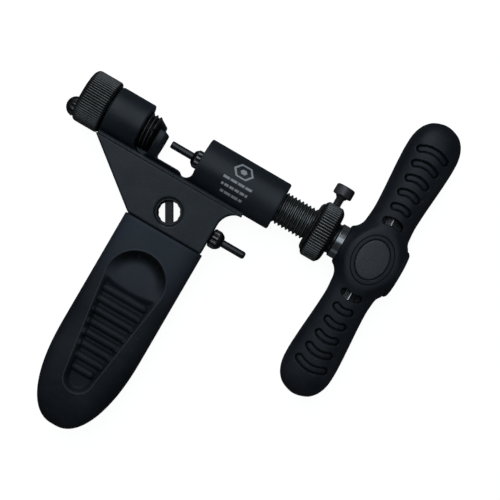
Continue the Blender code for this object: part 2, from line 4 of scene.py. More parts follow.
import bpy
import numpy as np
from bpy.props import FloatProperty, FloatVectorProperty, IntProperty, PointerProperty
from bpy.types import Operator, Panel, PropertyGroup
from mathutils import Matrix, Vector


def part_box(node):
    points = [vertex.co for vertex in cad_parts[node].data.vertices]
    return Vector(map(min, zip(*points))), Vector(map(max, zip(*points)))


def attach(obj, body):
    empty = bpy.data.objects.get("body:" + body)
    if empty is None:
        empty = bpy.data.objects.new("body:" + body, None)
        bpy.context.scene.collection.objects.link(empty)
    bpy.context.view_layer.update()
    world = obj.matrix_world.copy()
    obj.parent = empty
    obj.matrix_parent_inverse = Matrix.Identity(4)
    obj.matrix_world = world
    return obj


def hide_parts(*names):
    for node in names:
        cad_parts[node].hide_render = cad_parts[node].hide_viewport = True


bl_info = {
    "name": "Chain tool finish",
    "version": (1, 0, 0),
    "blender": (4, 5, 0),
    "location": "View3D > Sidebar > Chain tool",
    "description": "Builds the finished surfaces and materials of a bicycle chain tool",
    "category": "Object",
}

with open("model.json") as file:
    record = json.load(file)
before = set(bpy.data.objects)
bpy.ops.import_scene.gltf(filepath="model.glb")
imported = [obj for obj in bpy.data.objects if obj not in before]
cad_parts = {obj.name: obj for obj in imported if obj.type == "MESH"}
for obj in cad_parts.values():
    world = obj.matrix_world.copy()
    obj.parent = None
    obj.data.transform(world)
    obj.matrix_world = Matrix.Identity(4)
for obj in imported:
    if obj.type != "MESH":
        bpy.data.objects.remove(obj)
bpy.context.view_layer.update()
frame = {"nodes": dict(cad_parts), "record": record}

# Shapes are worked out in millimetres and scaled once, in add_piece.
MM = 0.001
BOX = {name: np.array([tuple(corner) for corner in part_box(name)]) / MM for name in frame["nodes"]}
BODY = {node: body for body, nodes in frame["record"]["behaviour"]["bodies"].items()
        for node in nodes}
AXIS_Y = float(BOX["spindle_screw"][:, 1].mean())
HANDLE_X = float(BOX["cross_bar"][:, 0].mean())
FLOOR_Z = float(min(box[0, 2] for box in BOX.values()))
FINE = 1.0
CORE_R = 0.3
PIN_CORE_R = 0.2


# ---------------------------------------------------------------- settings

def length_setting(name, description, default, least=0.0):
    """A length, its default and least value given in millimetres."""
    return FloatProperty(name=name, description=description, default=default * MM,
                         min=least * MM, unit="LENGTH", subtype="DISTANCE")


def number_setting(name, description, default, least):
    return IntProperty(name=name, description=description, default=default, min=least)


def colour_setting(name, description, default):
    return FloatVectorProperty(name=name, description=description, default=default, size=3,
                               subtype="COLOR")


class ToolSizes(PropertyGroup):
    """Sizes that the solids leave open."""

    thread_pitch: length_setting("Thread pitch", "Rise of the spindle thread a turn", 1.5, 0.5)
    thread_depth: length_setting("Thread depth", "Depth of the spindle thread", 0.78)
    knob_teeth: number_setting("Knob teeth", "Ridges of the knob's straight knurl", 68, 12)
    ring_teeth: number_setting("Ring teeth", "Ridges of the stop ring's straight knurl", 62, 12)
    knurl_depth: length_setting("Knurl depth", "Depth of the knurled ridges", 0.48)
    flutes: number_setting("Flutes", "Flutes round each pin holder", 11, 4)
    flute_depth: length_setting("Flute depth", "Depth of a pin holder's flutes", 0.55)
    recess_depth: length_setting("Thumb recess", "Depth of the grip's thumb recess", 1.8)
    pocket_depth: length_setting("Pocket depth", "Depth of the T-handle's pockets", 0.7)


class ToolColours(PropertyGroup):
    """Base colours of the finishes."""

    frame_black: colour_setting("Frame", "Matt black of the forged frame",
                                (0.0058, 0.0085, 0.0120))
    oxide_black: colour_setting("Oxide", "Black oxide on the screws and rings",
                                (0.022, 0.0215, 0.0215))
    grip_black: colour_setting("Grip", "Rubber of the grip", (0.0034, 0.0046, 0.0068))
    handle_black: colour_setting("T-handle", "Moulded T-handle", (0.0042, 0.0054, 0.0078))
    bright_steel: colour_setting("Bright steel", "Ground steel of the cross bar",
                                 (0.60, 0.59, 0.57))
    mark_silver: colour_setting("Mark", "Etched mark on the barrel", (0.25, 0.25, 0.25))
    floor_white: colour_setting("Floor", "Pale studio floor", (0.13, 0.13, 0.13))


def sizes():
    return bpy.context.scene.tool_sizes


def in_mm(name):
    """One of the length settings in millimetres."""
    return getattr(sizes(), name) / MM


def colours():
    return bpy.context.scene.tool_colours


# ---------------------------------------------------------------- meshes

def ends(node, axis=0):
    """Where a node's box begins and ends along an axis."""
    return BOX[node][:, axis]


def rim(node):
    """Half the height of a node's box, the radius of a round one."""
    low, high = ends(node, 2)
    return (high - low) / 2


def add_piece(name, node, surface, material, sharp=40):
    """A finished piece in a node's place: smooth shaded, facing out, riding on the node's body.
    The surface is its points and its faces."""
    points, faces = surface
    mesh = bpy.data.meshes.new(name)
    mesh.from_pydata((points * MM).tolist(), [], faces)
    mesh.shade_smooth()
    if sharp:
        mesh.set_sharp_from_angle(angle=math.radians(sharp))
    mesh.materials.append(material)
    piece = bpy.data.objects.new(name, mesh)
    bpy.context.scene.collection.objects.link(piece)
    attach(piece, BODY[node])
    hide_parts(node)
    return piece


def add_layer(piece, name, values):
    """A value at each point of a piece, for its material to read."""
    piece.data.attributes.new(name, "FLOAT", "POINT").data.foreach_set("value", values)


def facing_out(points, quads, fans):
    """Turns all faces over if the volume that they enclose comes out negative."""
    corners = np.concatenate([quads[:, [0, 1, 2]], quads[:, [0, 2, 3]], fans])
    a, b, c = (points[corners[:, k]] for k in range(3))
    if np.einsum("ij,ij->i", a, np.cross(b, c)).sum() < 0:
        quads, fans = quads[:, ::-1], fans[:, ::-1]
    return quads.tolist() + fans.tolist()


def skin(grid, loop=False):
    """Points and faces of a grid (row, column, xyz). Columns close round. Rows close round too
    where loop is set, and otherwise each end row closes in a fan on its middle."""
    rows, columns = grid.shape[:2]
    points = grid.reshape(-1, 3)
    ids = np.arange(rows * columns).reshape(rows, columns)
    if loop:
        near, far = ids, np.roll(ids, -1, axis=0)
    else:
        near, far = ids[:-1], ids[1:]
    quads = np.stack([near, np.roll(near, -1, axis=1), np.roll(far, -1, axis=1), far], axis=-1)
    fans = np.zeros((0, 3), int)
    if not loop:
        first, last = rows * columns, rows * columns + 1
        points = np.concatenate([points, grid[[0, -1]].mean(axis=1)])
        top, bottom = ids[0], ids[-1]
        fans = np.concatenate([
            np.stack([np.full(columns, first), np.roll(top, -1), top], axis=-1),
            np.stack([np.full(columns, last), bottom, np.roll(bottom, -1)], axis=-1)])
    return points, facing_out(points, quads.reshape(-1, 4), fans)


def rounded(profile, radius, loop=False, steps=5):
    """A profile whose corners are each a quadratic curve, which leaves the sides at most radius
    away from the corner."""
    profile = np.array(profile, float)
    count = len(profile)
    path = [] if loop else [profile[:1]]
    t = np.linspace(0, 1, steps)[:, None]
    for k in range(0 if loop else 1, count if loop else count - 1):
        before, here, after = profile[k - 1], profile[k], profile[(k + 1) % count]
        ends = []
        for other in (before, after):
            side = other - here
            length = np.linalg.norm(side)
            ends.append(here + side * min(radius, 0.48 * length) / length)
        path.append((1 - t) ** 2 * ends[0] + 2 * t * (1 - t) * here + t ** 2 * ends[1])
    if not loop:
        path.append(profile[-1:])
    return np.concatenate(path)


def close_spaced(path, step):
    """Points added along a path so that none are further apart than step."""
    made = [path[:1]]
    for a, b in zip(path[:-1], path[1:]):
        count = max(1, math.ceil(np.linalg.norm(b - a) / step))
        t = np.linspace(0, 1, count + 1)[1:, None]
        made.append(a + (b - a) * t)
    return np.concatenate(made)


def revolve(path, axis, centre, around, ripple=None):
    """Each (distance, radius) point of a path swept round an axis: radius * (cos, sin) of the
    angle, less the ripple's depth at that distance and angle."""
    along, radius = path[:, :1], path[:, 1:]
    angle = np.linspace(0, 2 * math.pi, around, endpoint=False)[None, :]
    depth = ripple(along, angle, radius) if ripple else 0
    least_radius = 0.02
    reach = np.maximum(radius - depth, least_radius)
    c, s = reach * np.cos(angle), reach * np.sin(angle)
    far = along + 0 * angle
    x, y, z = centre
    swept = {"X": (far, y + c, z + s), "Y": (x + s, far, z + c), "Z": (x + c, y + s, far)}
    return np.stack(swept[axis], axis=-1)


def turned_piece(name, node, profile, material, axis="X", centre=(0, AXIS_Y, 0), around=96,
                 edge=0.3, ripple=None, step=None, loop=False, sharp=40):
    """A turned piece with softened corners. A step adds points, so that a ripple has enough."""
    path = rounded(profile, edge, loop)
    if step:
        path = close_spaced(path, step * FINE)
    surface = skin(revolve(path, axis, centre, around, ripple), loop)
    return add_piece(name, node, surface, material, sharp)


def fade(value, low, high):
    """0 below low, 1 above high, with smooth ends."""
    t = np.clip((value - low) / (high - low), 0, 1)
    return t * t * (3 - 2 * t)


def thread(pitch, depth, start, end):
    """A right-handed V thread: depth grows with the distance from the crest, and a crest is where
    distance / pitch - angle / full turn is whole. It runs out over half a pitch at both ends."""
    def ripple(along, angle, radius):
        from_crest = 2 * np.abs((along / pitch - angle / (2 * math.pi)) % 1 - 0.5)
        run_out = fade(along, start, start + pitch / 2) * (1 - fade(along, end - pitch / 2, end))
        return depth * np.clip((from_crest - 0.14) / 0.72, 0, 1) * run_out
    return ripple


def main_thread(start, end):
    """The thread that the spindle and the anvil screw share."""
    return thread(in_mm("thread_pitch"), in_mm("thread_depth"), start, end)


def knurl(teeth, crest, softened=0.9):
    """Straight ridges: a rounded wave round the rim, fading below the crest."""
    depth = in_mm("knurl_depth")

    def ripple(along, angle, radius):
        wave = np.clip(1.35 * np.abs(np.sin(teeth * angle / 2)) - 0.35, 0, 1)
        return depth * wave * fade(radius, crest - softened, crest - 0.35 * softened)
    return ripple


def flutes(fade_from, fade_to):
    """Grooves between round ribs, fading along the axis between two distances."""
    teeth, depth = sizes().flutes, in_mm("flute_depth")

    def ripple(along, angle, radius):
        wave = np.abs(np.cos(teeth * angle / 2)) ** 2.6
        return depth * wave * (1 - fade(np.abs(along - fade_from), 0, abs(fade_to - fade_from)))
    return ripple


def outside_only(ripple, least):
    """A ripple that leaves radii below the least one alone, such as those of an inner bore."""
    def limited(along, angle, radius):
        return ripple(along, angle, radius) * fade(radius, least, least + 0.6)
    return limited


# ---------------------------------------------------------------- solid fields

def either(a, b, soft=0.0):
    """Union of two fields, blended over a soft width."""
    if not soft:
        return np.minimum(a, b)
    h = np.clip(0.5 + 0.5 * (b - a) / soft, 0, 1)
    return b + (a - b) * h - soft * h * (1 - h)


def both(a, b, soft=0.0):
    """What two fields share, with the edge rounded over a soft width."""
    return -either(-a, -b, soft)


def without(a, b, soft=0.0):
    return both(a, -b, soft)


def between(value, low, high):
    return np.maximum(low - value, value - high)


def field_skin(field, low, high, step):
    """Points and faces of the surface where a field of x, y, z is zero. Every grid cell that the
    surface crosses holds one point, at the mean of the crossings on its edges, which then moves
    down the field's slope onto the surface. Every crossed edge gives the quad of its cells."""
    axes = [np.arange(a - 2 * step, b + 3 * step, step) for a, b in zip(low, high)]
    value = field(*np.meshgrid(*axes, indexing="ij", sparse=True))
    inside = value < 0
    cells = np.array(value.shape) - 1
    places, corners, quads = [], [], []
    for axis in range(3):
        near, far = [slice(None)] * 3, [slice(None)] * 3
        near[axis], far[axis] = slice(0, -1), slice(1, None)
        near, far = tuple(near), tuple(far)
        crossed = inside[near] != inside[far]
        at = np.argwhere(crossed)
        a, b = value[near][crossed], value[far][crossed]
        place = at.astype(float)
        place[:, axis] += a / (a - b)
        ring = []
        for u, w in ((0, 0), (-1, 0), (-1, -1), (0, -1)):
            cell = at.copy()
            cell[:, (axis + 1) % 3] += u
            cell[:, (axis + 2) % 3] += w
            ring.append((cell[:, 0] * cells[1] + cell[:, 1]) * cells[2] + cell[:, 2])
        ring = np.stack(ring, axis=-1)
        outward = inside[near][crossed]
        ring[~outward] = ring[~outward][:, ::-1]
        quads.append(ring)
        places.append(np.repeat(place, 4, axis=0))
        corners.append(ring.reshape(-1))
    _, index = np.unique(np.concatenate(corners), return_inverse=True)
    places = np.concatenate(places)
    # each ring was listed with its own place, whichever way round it stands
    count = np.bincount(index)
    points = np.stack([np.bincount(index, places[:, k]) / count for k in range(3)], axis=-1)
    points = points * step + np.array([axis[0] for axis in axes])
    points = onto_surface(field, points, step)
    return points, index.reshape(-1, 4).tolist()


def onto_surface(field, points, step, rounds=4):
    """Newton steps along the field's gradient, each at most half a grid step."""
    small = 0.02
    for _ in range(rounds):
        x, y, z = points.T
        value = field(x, y, z)
        slope = np.stack([field(x + small, y, z) - value, field(x, y + small, z) - value,
                          field(x, y, z + small) - value], axis=-1) / small
        move = -value[:, None] * slope / np.maximum((slope ** 2).sum(axis=1), 1e-3)[:, None]
        length = np.linalg.norm(move, axis=1, keepdims=True)
        points = points + move * np.minimum(1, 0.5 * step / np.maximum(length, 1e-12))
    return points


# ---------------------------------------------------------------- frame forging

FRAME_R = 9.27
SLOT_HALF = 7.5
WALL_X, WALL_TOP = -10.3, 9.6
ANVIL_WINDOW_X = -16.3
PLATE_HALF, PLATE_TOP = 5.5, -3.0
PLATE_LEFT, PLATE_RIGHT = np.array((-29.8, -3.5)), 24.3
SEAM_LEFT = np.array((-5.9, -22.2))
CORNER_R = 7.0
NOTCH = (4.9, 1.4, 2.55)
ROUND_WINDOW = (6.95, -14.8, 5.0)
SPARE_HOLE = (14.8, -14.9, 2.8)


def from_axis(y, z):
    return np.hypot(y - AXIS_Y, z)


def block(x, y, z, across, down, half_thick):
    """A box from its ranges in x and y and its half thickness."""
    return np.maximum(between(x, *across),
                      np.maximum(between(y, *down), np.abs(z) - half_thick))


def plate_field(x, y, z):
    """Flat plate: a diagonal on the left, a straight seam below, and a concave corner on the
    right."""
    seam = SEAM_LEFT[1]
    run = (SEAM_LEFT - PLATE_LEFT) / np.linalg.norm(SEAM_LEFT - PLATE_LEFT)
    diagonal = run[1] * (x - PLATE_LEFT[0]) - run[0] * (y - PLATE_LEFT[1])
    middle = (PLATE_RIGHT + CORNER_R, PLATE_TOP - CORNER_R)
    main = both(both(diagonal, x - PLATE_RIGHT, 0.3), between(y, seam, PLATE_TOP), 0.3)
    corner = np.maximum(between(x, PLATE_RIGHT - 1, middle[0]), between(y, middle[1], PLATE_TOP))
    corner = np.maximum(corner, CORNER_R - np.hypot(x - middle[0], y - middle[1]))
    return both(np.minimum(main, corner), np.abs(z) - PLATE_HALF, 0.55)


def forging_field(x, y, z):
    """The turned bar, its neck and the plate, less the slot, windows and bores."""
    left, right = ends("frame_body")
    axis_distance = from_axis(y, z)
    body = both(axis_distance - FRAME_R, between(x, left, right), 0.9)
    body = either(body, plate_field(x, y, z), 0.25)
    body = either(body, block(x, y, z, (left + 0.15, 30.4), (-3.4, 1), 3.6), 0.3)
    tang = block(x, y, z, (0.3, 18.3), (-27, -21), 3.2)
    shoulder = block(x, y, z, (-5.6, 24.1), (-23, -21), 4.6)
    body = either(body, np.minimum(tang, shoulder), 0.1)
    slot = both(np.abs(x) - SLOT_HALF, -y, 1.6)
    slot = either(slot, np.hypot(x - NOTCH[0], y - NOTCH[1]) - NOTCH[2], 0.5)
    body = without(body, slot, 0.6)
    body = without(body, np.maximum(between(x, -11.5, -6), WALL_TOP - y), 0.9)
    # the U-shaped window, closed at the back below the axis and open above it
    half = (WALL_X - ANVIL_WINDOW_X) / 2
    middle = (WALL_X + ANVIL_WINDOW_X) / 2
    bottom = half - 1.7
    upright = np.where(y < bottom, np.hypot(x - middle, y - bottom), np.abs(x - middle)) - half
    pocket = np.maximum(upright, -1.2 - z)
    open_top = np.maximum(np.abs(x - middle) - half, 6.3 - y)
    body = without(body, np.minimum(pocket, open_top), 0.7)
    # bores along the axis: the anvil screw's, its seat, the cup's way through, the spindle's
    body = without(body, both(axis_distance - 6.95, x - WALL_X, 0.2), 0.4)
    for bore_r, span in ((5.5, (-12, -8.7)), (2.2, (-12, -6))):
        body = without(body, np.maximum(axis_distance - bore_r, between(x, *span)), 0.3)
    body = without(body, both(axis_distance - 6.5, 6 - x), 0.8)
    window_x, window_y, window_r = ROUND_WINDOW
    chamfered = window_r + np.clip(np.abs(z) - PLATE_HALF + 0.5, 0, 2)
    body = without(body, np.hypot(x - window_x, y - window_y) - chamfered, 0.2)
    spare_x, spare_y, spare_r = SPARE_HOLE
    return without(body, np.maximum(np.hypot(y - spare_y, z) - spare_r, spare_x - x), 0.3)


def insert_field(x, y, z):
    """A ring whose bore has twelve shallow scallops, with a flat bar across it."""
    window_x, window_y, window_r = ROUND_WINDOW
    u, v = x - window_x, y - window_y
    radius, angle = np.hypot(u, v), np.arctan2(v, u)
    high = ends("window_insert", 2)[1]
    bore = 3.98 + 0.2 * np.abs(np.sin(6 * angle))
    ring = both(np.maximum(radius - window_r - 0.1, bore - radius), np.abs(z) - high, 0.3)
    turn = math.radians(120.25)
    across = -u * math.sin(turn) + v * math.cos(turn)
    bar = both(np.abs(across) - 1.5, np.abs(z) - 1.5, 0.3)
    return either(ring, np.maximum(bar, radius - 4.5), 0.15)


class TOOL_OT_forging(Operator):
    """Builds the forged frame and the ring in its round window"""

    bl_idname = "tool.forging"
    bl_label = "Frame forging"

    def execute(self, context):
        low, high = BOX["frame_body"].copy()
        low[1] = -27
        add_piece("frame_forging", "frame_body",
                  field_skin(forging_field, low, high, 0.345 * FINE), frame_finish(), sharp=0)
        # the darker tone of 0.3 is painted shade on the ring and its bar, which sit deep in the
        # window
        low, high = BOX["window_insert"]
        add_piece("window_ring", "window_insert",
                  field_skin(insert_field, low - 1, high + 1, 0.16 * FINE),
                  oxide_finish("window_ring_steel", wear_and_highlight=0.06, tone_and_painted_light=0.3), sharp=0)
        return {"FINISHED"}


# ---------------------------------------------------------------- grip

# place along the grip and half length of each rib
RIBS = [(-49.4, 8.95), (-53.7, 8.75), (-57.9, 8.5), (-62.4, 8.1), (-66.5, 7.6), (-70.7, 6.9),
        (-75.1, 5.7), (-79.4, 4.5)]
RIB_HALF, RIB_HEIGHT = 1.5, 1.7
# middle and radius of the circles at both ends of the recess
RECESS_TOP, RECESS_END = (-42.4, 11.3), (-82.4, 5.6)
SCOOP_END = -47.2
BEAD_HEIGHT, BEAD_HALF = 0.2, 0.17
GRIP_STRAIGHT_END = -67
GRIP_ROWS, GRIP_COLUMNS = 312, 304


def teardrop(x, y):
    """Distance from the outline of two circles joined by tangents, negative inside."""
    (top_y, top_r), (end_y, end_r) = RECESS_TOP, RECESS_END
    length = top_y - end_y
    lean = (top_r - end_r) / length
    rise = math.sqrt(1 - lean * lean)
    side, down = np.abs(x), top_y - y
    straight = side * rise + down * lean - top_r
    field = np.where(down * rise < side * lean, np.hypot(side, down) - top_r, straight)
    return np.where((down - length) * rise > side * lean, np.hypot(side, down - length) - end_r,
                    field)


def recess_depth(x, y, depth):
    """How far the grip's face is sunk: a thin bead and a steep rim round the teardrop, a scoop
    that climbs to a crest, and beyond it a level floor with round ribs."""
    inside = -teardrop(x, y)
    crest = SCOOP_END + 1.3 * (x / 10) ** 2
    from_floor = 1 - np.clip(inside / 5.4, 0, 1)
    scoop = (0.3 + 1.7 * fade(y, -48, -34)) * (1 - from_floor ** 2.2)
    level = 1.35 * fade(inside, 0.15, 2.3)
    sunk = depth * (scoop + (level - scoop) * fade(crest - y, -1.1, 1.5))
    for rib_y, half in RIBS:
        reach = np.maximum(np.abs(x) - half + RIB_HALF, 0)
        across = np.hypot(reach, y - rib_y)
        sunk = sunk - RIB_HEIGHT * np.sqrt(np.clip(1 - (across / RIB_HALF) ** 2, 0, 1))
    return np.maximum(sunk, 0) - BEAD_HEIGHT * bead_share(x, y)


def bead_share(x, y):
    """1 along the crest of the thin bead round the teardrop, 0 away from it."""
    return np.exp(-((teardrop(x, y) - 0.05) / BEAD_HALF) ** 2)


def scoop_shade_share(x, y):
    """1 on the steep wall at the top of the scoop, where the grip gets painted shade, and 0 away
    from it.
    """
    inside = -teardrop(x, y)
    return (fade(y, -45, -35) * fade(inside, 0.1, 0.5)
            * (1 - fade(inside, 1.8, 5.6)))


def weighted(places, weights, count):
    """A number of places spread so that each span between them holds the same weight."""
    total = np.concatenate([[0], np.cumsum((weights[1:] + weights[:-1]) / 2 * np.diff(places))])
    return np.interp(np.linspace(0, total[-1], count), total, places)


def grip_grid(depth):
    """Rounded rectangular rings down the grip, closest where the recess is. Width and thickness
    close in at the end as (1 - t ** n) ** (1 / n), and each face is sunk by the recess."""
    low, high = BOX["grip_sleeve"]
    middle, half_width = (low[0] + high[0]) / 2, (high[0] - low[0]) / 2
    half_thick = rim("grip_sleeve")
    lip_drop, lip_inset = np.array([0, 0.03, 0.12]), np.array([0.6, 0.25, 0.08])
    along = np.linspace(0, 1, 4001)
    y = high[1] - 0.3 + (low[1] - high[1] + 0.3) * np.sin(along * math.pi / 2)
    weight = (1 + 3.6 * (fade(y, -90, -88) - fade(y, -31, -29))
              + 5 * fade(-y, 97, 102)) * np.abs(np.gradient(y, along))
    y = np.interp(weighted(along, weight, round(GRIP_ROWS / FINE)), along, y)
    y = np.concatenate([high[1] - lip_drop, y])
    t = np.clip((GRIP_STRAIGHT_END - y) / (GRIP_STRAIGHT_END - low[1]), 0, 1)
    inset = np.zeros(len(y))
    inset[:3] = lip_inset
    width = (half_width - inset) * (1 - t ** 2.3) ** (1 / 2.3)
    thick = (half_thick - inset) * (1 - t ** 2.8) ** (1 / 2.8)
    angle = np.linspace(0, 2 * math.pi, 6001)
    power = 0.5
    ring_x = np.sign(np.cos(angle)) * np.abs(np.cos(angle)) ** power
    ring_z = np.sign(np.sin(angle)) * np.abs(np.sin(angle)) ** power
    length = np.concatenate([[0], np.cumsum(np.hypot(np.diff(ring_x * half_width),
                                                     np.diff(ring_z * half_thick)))])
    dense = 1 + 2.6 * (1 - fade(np.abs(ring_x) * half_width, 11.6, 12.6))
    places = weighted(length, dense, round(GRIP_COLUMNS / FINE) + 1)[:-1]
    ring_x, ring_z = np.interp(places, length, ring_x), np.interp(places, length, ring_z)
    x = width[:, None] * ring_x
    z = thick[:, None] * ring_z
    yy = y[:, None] + 0 * x
    sunk = recess_depth(x, yy, depth) * fade(np.abs(ring_z), 0.75, 0.9)
    return np.stack([middle + x, yy, z - np.sign(z) * sunk], axis=-1)


class TOOL_OT_grip(Operator):
    """Builds the rubber grip with its thumb recess and ribs"""

    bl_idname = "tool.grip"
    bl_label = "Grip"

    def execute(self, context):
        points, faces = skin(grip_grid(in_mm("recess_depth")))
        piece = add_piece("grip_rubber", "grip_sleeve", (points, faces), grip_finish(),
                          sharp=50)
        x = points[:, 0] - ends("grip_sleeve").mean()
        # the bead layer lets the finish paint a highlight along the bead's crest
        add_layer(piece, "bead", bead_share(x, points[:, 1]))
        # this layer marks where the finish paints shade on the steep top wall of the scoop
        add_layer(piece, "scoop_shade", scoop_shade_share(x, points[:, 1]))
        return {"FINISHED"}


# ---------------------------------------------------------------- anvil

class TOOL_OT_anvil(Operator):
    """Builds the anvil screw, its cup, its knurled knob and the fluted stud"""

    bl_idname = "tool.anvil"
    bl_label = "Anvil"

    def execute(self, context):
        left, tip = ends("anvil_screw")
        radius, seat = rim("anvil_screw"), 3.5
        turned_piece(
            "anvil_thread", "anvil_screw",
            [(tip - 4.3, CORE_R), (tip - 4.3, seat), (tip, seat), (tip, 4.3), (tip - 3, 6.1),
             (tip - 3.5, radius), (left, radius), (left, CORE_R)],
            oxide_finish("anvil_oxide", wear_and_highlight=0.22, roughness=0.3,
                         crest=(AXIS_Y, radius, in_mm("thread_depth"))),
            around=120, edge=0.25, ripple=outside_only(main_thread(left, tip - 3.1), 4.8),
            step=0.13, sharp=60)
        near, far = ends("anvil_cup")
        turned_piece(
            "anvil_socket", "anvil_cup",
            [(near + 0.8, PIN_CORE_R), (near + 0.8, 1.9), (far, 1.9), (far, 3.2), (near, 3.2),
             (near, PIN_CORE_R)],
            steel_finish("socket_steel"), around=72)
        near, far = ends("anvil_knob")
        crest, bore, inner = rim("anvil_knob"), radius + 0.3, left - 0.3
        turned_piece(
            "knurled_knob", "anvil_knob",
            [(near, CORE_R), (near, crest - 1.5), (near + 0.75, crest - 0.35),
             (near + 1.6, crest), (far - 0.7, crest), (far, crest - 0.8), (far, bore),
             (inner, bore), (inner, CORE_R)],
            oxide_finish("knob_oxide", wear_and_highlight=0.5, tone_and_painted_light=0.8,
                         crest=(AXIS_Y, crest, in_mm("knurl_depth"))),
            around=sizes().knob_teeth * int(8 / FINE), edge=0.5,
            ripple=knurl(sizes().knob_teeth, crest), sharp=0)
        stud_y = ends("knob_stud", 1).mean()
        top, foot = ends("knob_stud")
        radius, face, stem = rim("knob_stud"), near - 0.12, 1.6
        dome = [(face + (top - face) * math.sin(a), radius * math.cos(a))
                for a in np.radians(np.linspace(84, 0, 16))]
        turned_piece(
            "fluted_stud", "knob_stud",
            dome + [(face, stem), (foot, stem), (foot, CORE_R)],
            oxide_finish("stud_oxide", wear_and_highlight=0.4, crest=(stud_y, radius, in_mm("flute_depth"))),
            centre=(0, stud_y, 0), around=176, edge=0.15, ripple=flutes(face, top + 0.6), sharp=0)
        return {"FINISHED"}


# ---------------------------------------------------------------- spindle

SPINDLE_CREST = 6.25
PIN_R = 1.4
PIN_BORE = 1.42
HOLDER_SHANK = 2.5


class TOOL_OT_spindle(Operator):
    """Builds the threaded spindle, the fluted pin holder and the driver pin"""

    bl_idname = "tool.spindle"
    bl_label = "Spindle and driver pin"

    def execute(self, context):
        left, right = ends("spindle_screw")
        ring_right = ends("stop_ring")[1]
        crest, collar, neck, bore = SPINDLE_CREST, 6.5, 5.8, 2.8
        turned_piece(
            "spindle_thread", "spindle_screw",
            [(left + 7, CORE_R), (left + 7, bore), (left, bore), (left, crest - 0.8),
             (left + 0.8, crest), (ring_right, crest), (ring_right + 0.4, neck),
             (ring_right + 1.1, neck), (ring_right + 1.4, collar), (right, collar),
             (right, CORE_R)],
            thread_finish(), around=128, edge=0.2,
            ripple=outside_only(main_thread(left, ring_right + 0.2), 4.5), step=0.14, sharp=60)
        (near, far), radius, shoulder = ends("pin_holder"), 3.53, left - 0.3
        turned_piece(
            "fluted_holder", "pin_holder",
            [(near, PIN_BORE), (near, 2.1), (near + 0.35, 2.5), (near + 1.5, radius),
             (shoulder, radius), (shoulder, HOLDER_SHANK), (far, HOLDER_SHANK), (far, PIN_BORE)],
            oxide_finish("holder_oxide", wear_and_highlight=0.9, crest=(AXIS_Y, radius, in_mm("flute_depth"))),
            around=176, step=0.3, loop=True,
            ripple=outside_only(flutes(near + 3.2, near + 0.2), 2.5), sharp=0)
        near, far = ends("driver_pin")
        turned_piece(
            "driver_pin_rod", "driver_pin",
            [(near, PIN_CORE_R), (near, PIN_R - 0.12), (near + 0.7, PIN_R), (far, PIN_R),
             (far, PIN_CORE_R)],
            oxide_finish("pin_steel", wear_and_highlight=0.45, roughness=0.3), around=72, edge=0.18)
        return {"FINISHED"}


# ---------------------------------------------------------------- stop ring

class TOOL_OT_stop_ring(Operator):
    """Builds the knurled stop ring, its smooth washer, and the thumb screw"""

    bl_idname = "tool.stop_ring"
    bl_label = "Stop ring"

    def execute(self, context):
        left, right = ends("stop_ring")
        near, sleeve = ends("stop_washer")
        crest, bore, seat, gap = rim("stop_ring"), 6.5, 7.8, 0.3
        turned_piece(
            "knurled_ring", "stop_ring",
            [(right, bore), (right, crest - 2.3), (right - 0.35, crest - 1.3),
             (right - 1.5, crest), (left + 1, crest), (left, crest - 1.2), (left, seat),
             (sleeve + gap, seat), (sleeve + gap, bore)],
            oxide_finish("ring_oxide", wear_and_highlight=0.8, crest=(AXIS_Y, crest, in_mm("knurl_depth"))),
            around=sizes().ring_teeth * int(10 / FINE), edge=0.5,
            ripple=outside_only(knurl(sizes().ring_teeth, crest, 0.8), 8.2), loop=True, sharp=0)
        radius, far = rim("stop_washer"), left - 0.1
        turned_piece(
            "smooth_washer", "stop_washer",
            [(far, radius + 0.5), (near + 0.3, radius - 0.3), (near, radius - 1.1), (near, bore),
             (sleeve, bore), (sleeve, seat - gap), (far, seat - gap)],
            oxide_finish("washer_oxide", wear_and_highlight=0.35), around=128, loop=True)
        low, top = ends("thumb_screw", 1)
        head, under, shank = rim("thumb_screw"), 21.6, 1.65
        # the thumb screw's lighter tone of 2.4 is painted light, standing in for its highlights
        turned_piece(
            "thumb_screw_turned", "thumb_screw",
            [(top, CORE_R), (top, head - 0.5), (top - 0.5, head), (under + 0.3, head),
             (under, head - 0.3), (under, 2.3), (under - 1.1, shank), (low, shank),
             (low, CORE_R)],
            oxide_finish("thumb_oxide", wear_and_highlight=0.6, tone_and_painted_light=2.4), axis="Y",
            centre=(ends("thumb_screw").mean(), 0, 0), edge=0.35, step=0.09,
            ripple=thumb_ripple(low, under, head), sharp=50)
        return {"FINISHED"}


def thumb_ripple(low, under, head):
    """A fine thread on the shank, and a faint fine knurl round the head."""
    fine = thread(0.6, 0.27, low, under - 0.6)
    shank_only = 1.9

    def ripple(along, angle, radius):
        knurled = 0.09 * (0.5 - 0.5 * np.cos(40 * angle)) * fade(radius, head - 0.25, head)
        return fine(along, -angle, radius) * (radius < shank_only) + knurled
    return ripple


# ---------------------------------------------------------------- T-handle

# distance from the spindle, half width and half thickness
LOBE = np.array([(0, 9.5, 9.3), (7, 9.3, 9.2), (12, 8.8, 8.9), (17, 8.4, 8.5), (23, 8.6, 8.2),
                 (30, 9.1, 8.1), (37, 9.6, 8.2), (43, 9.8, 8.2), (47, 9.55, 7.9), (50, 8.75, 7.2),
                 (52.5, 7.35, 6.1), (54.4, 5.4, 4.7), (56.0, 2.6, 2.4)])
# distance from the spindle along x, and the radius of the hub there
HUB = np.array([(66.8, 7.5), (69.5, 8.3), (72.5, 9.7), (84, 9.8), (88.3, 9.35)])
BOSS, BOSS_TOP, HANDLE_TOP = (8.9, 11.2), 10.05, 10.25
# distance from the spindle and length of each pocket, innermost first
POCKETS = [(15.1, 7.9), (20.9, 7.9), (26.7, 8.7), (32.5, 9.3), (38.3, 10.6), (44.1, 12.5)]
BEAN_HALF = 1.42
BADGE = (5.8, 7.45)
OVAL_LINE = (7.45, 9.3)


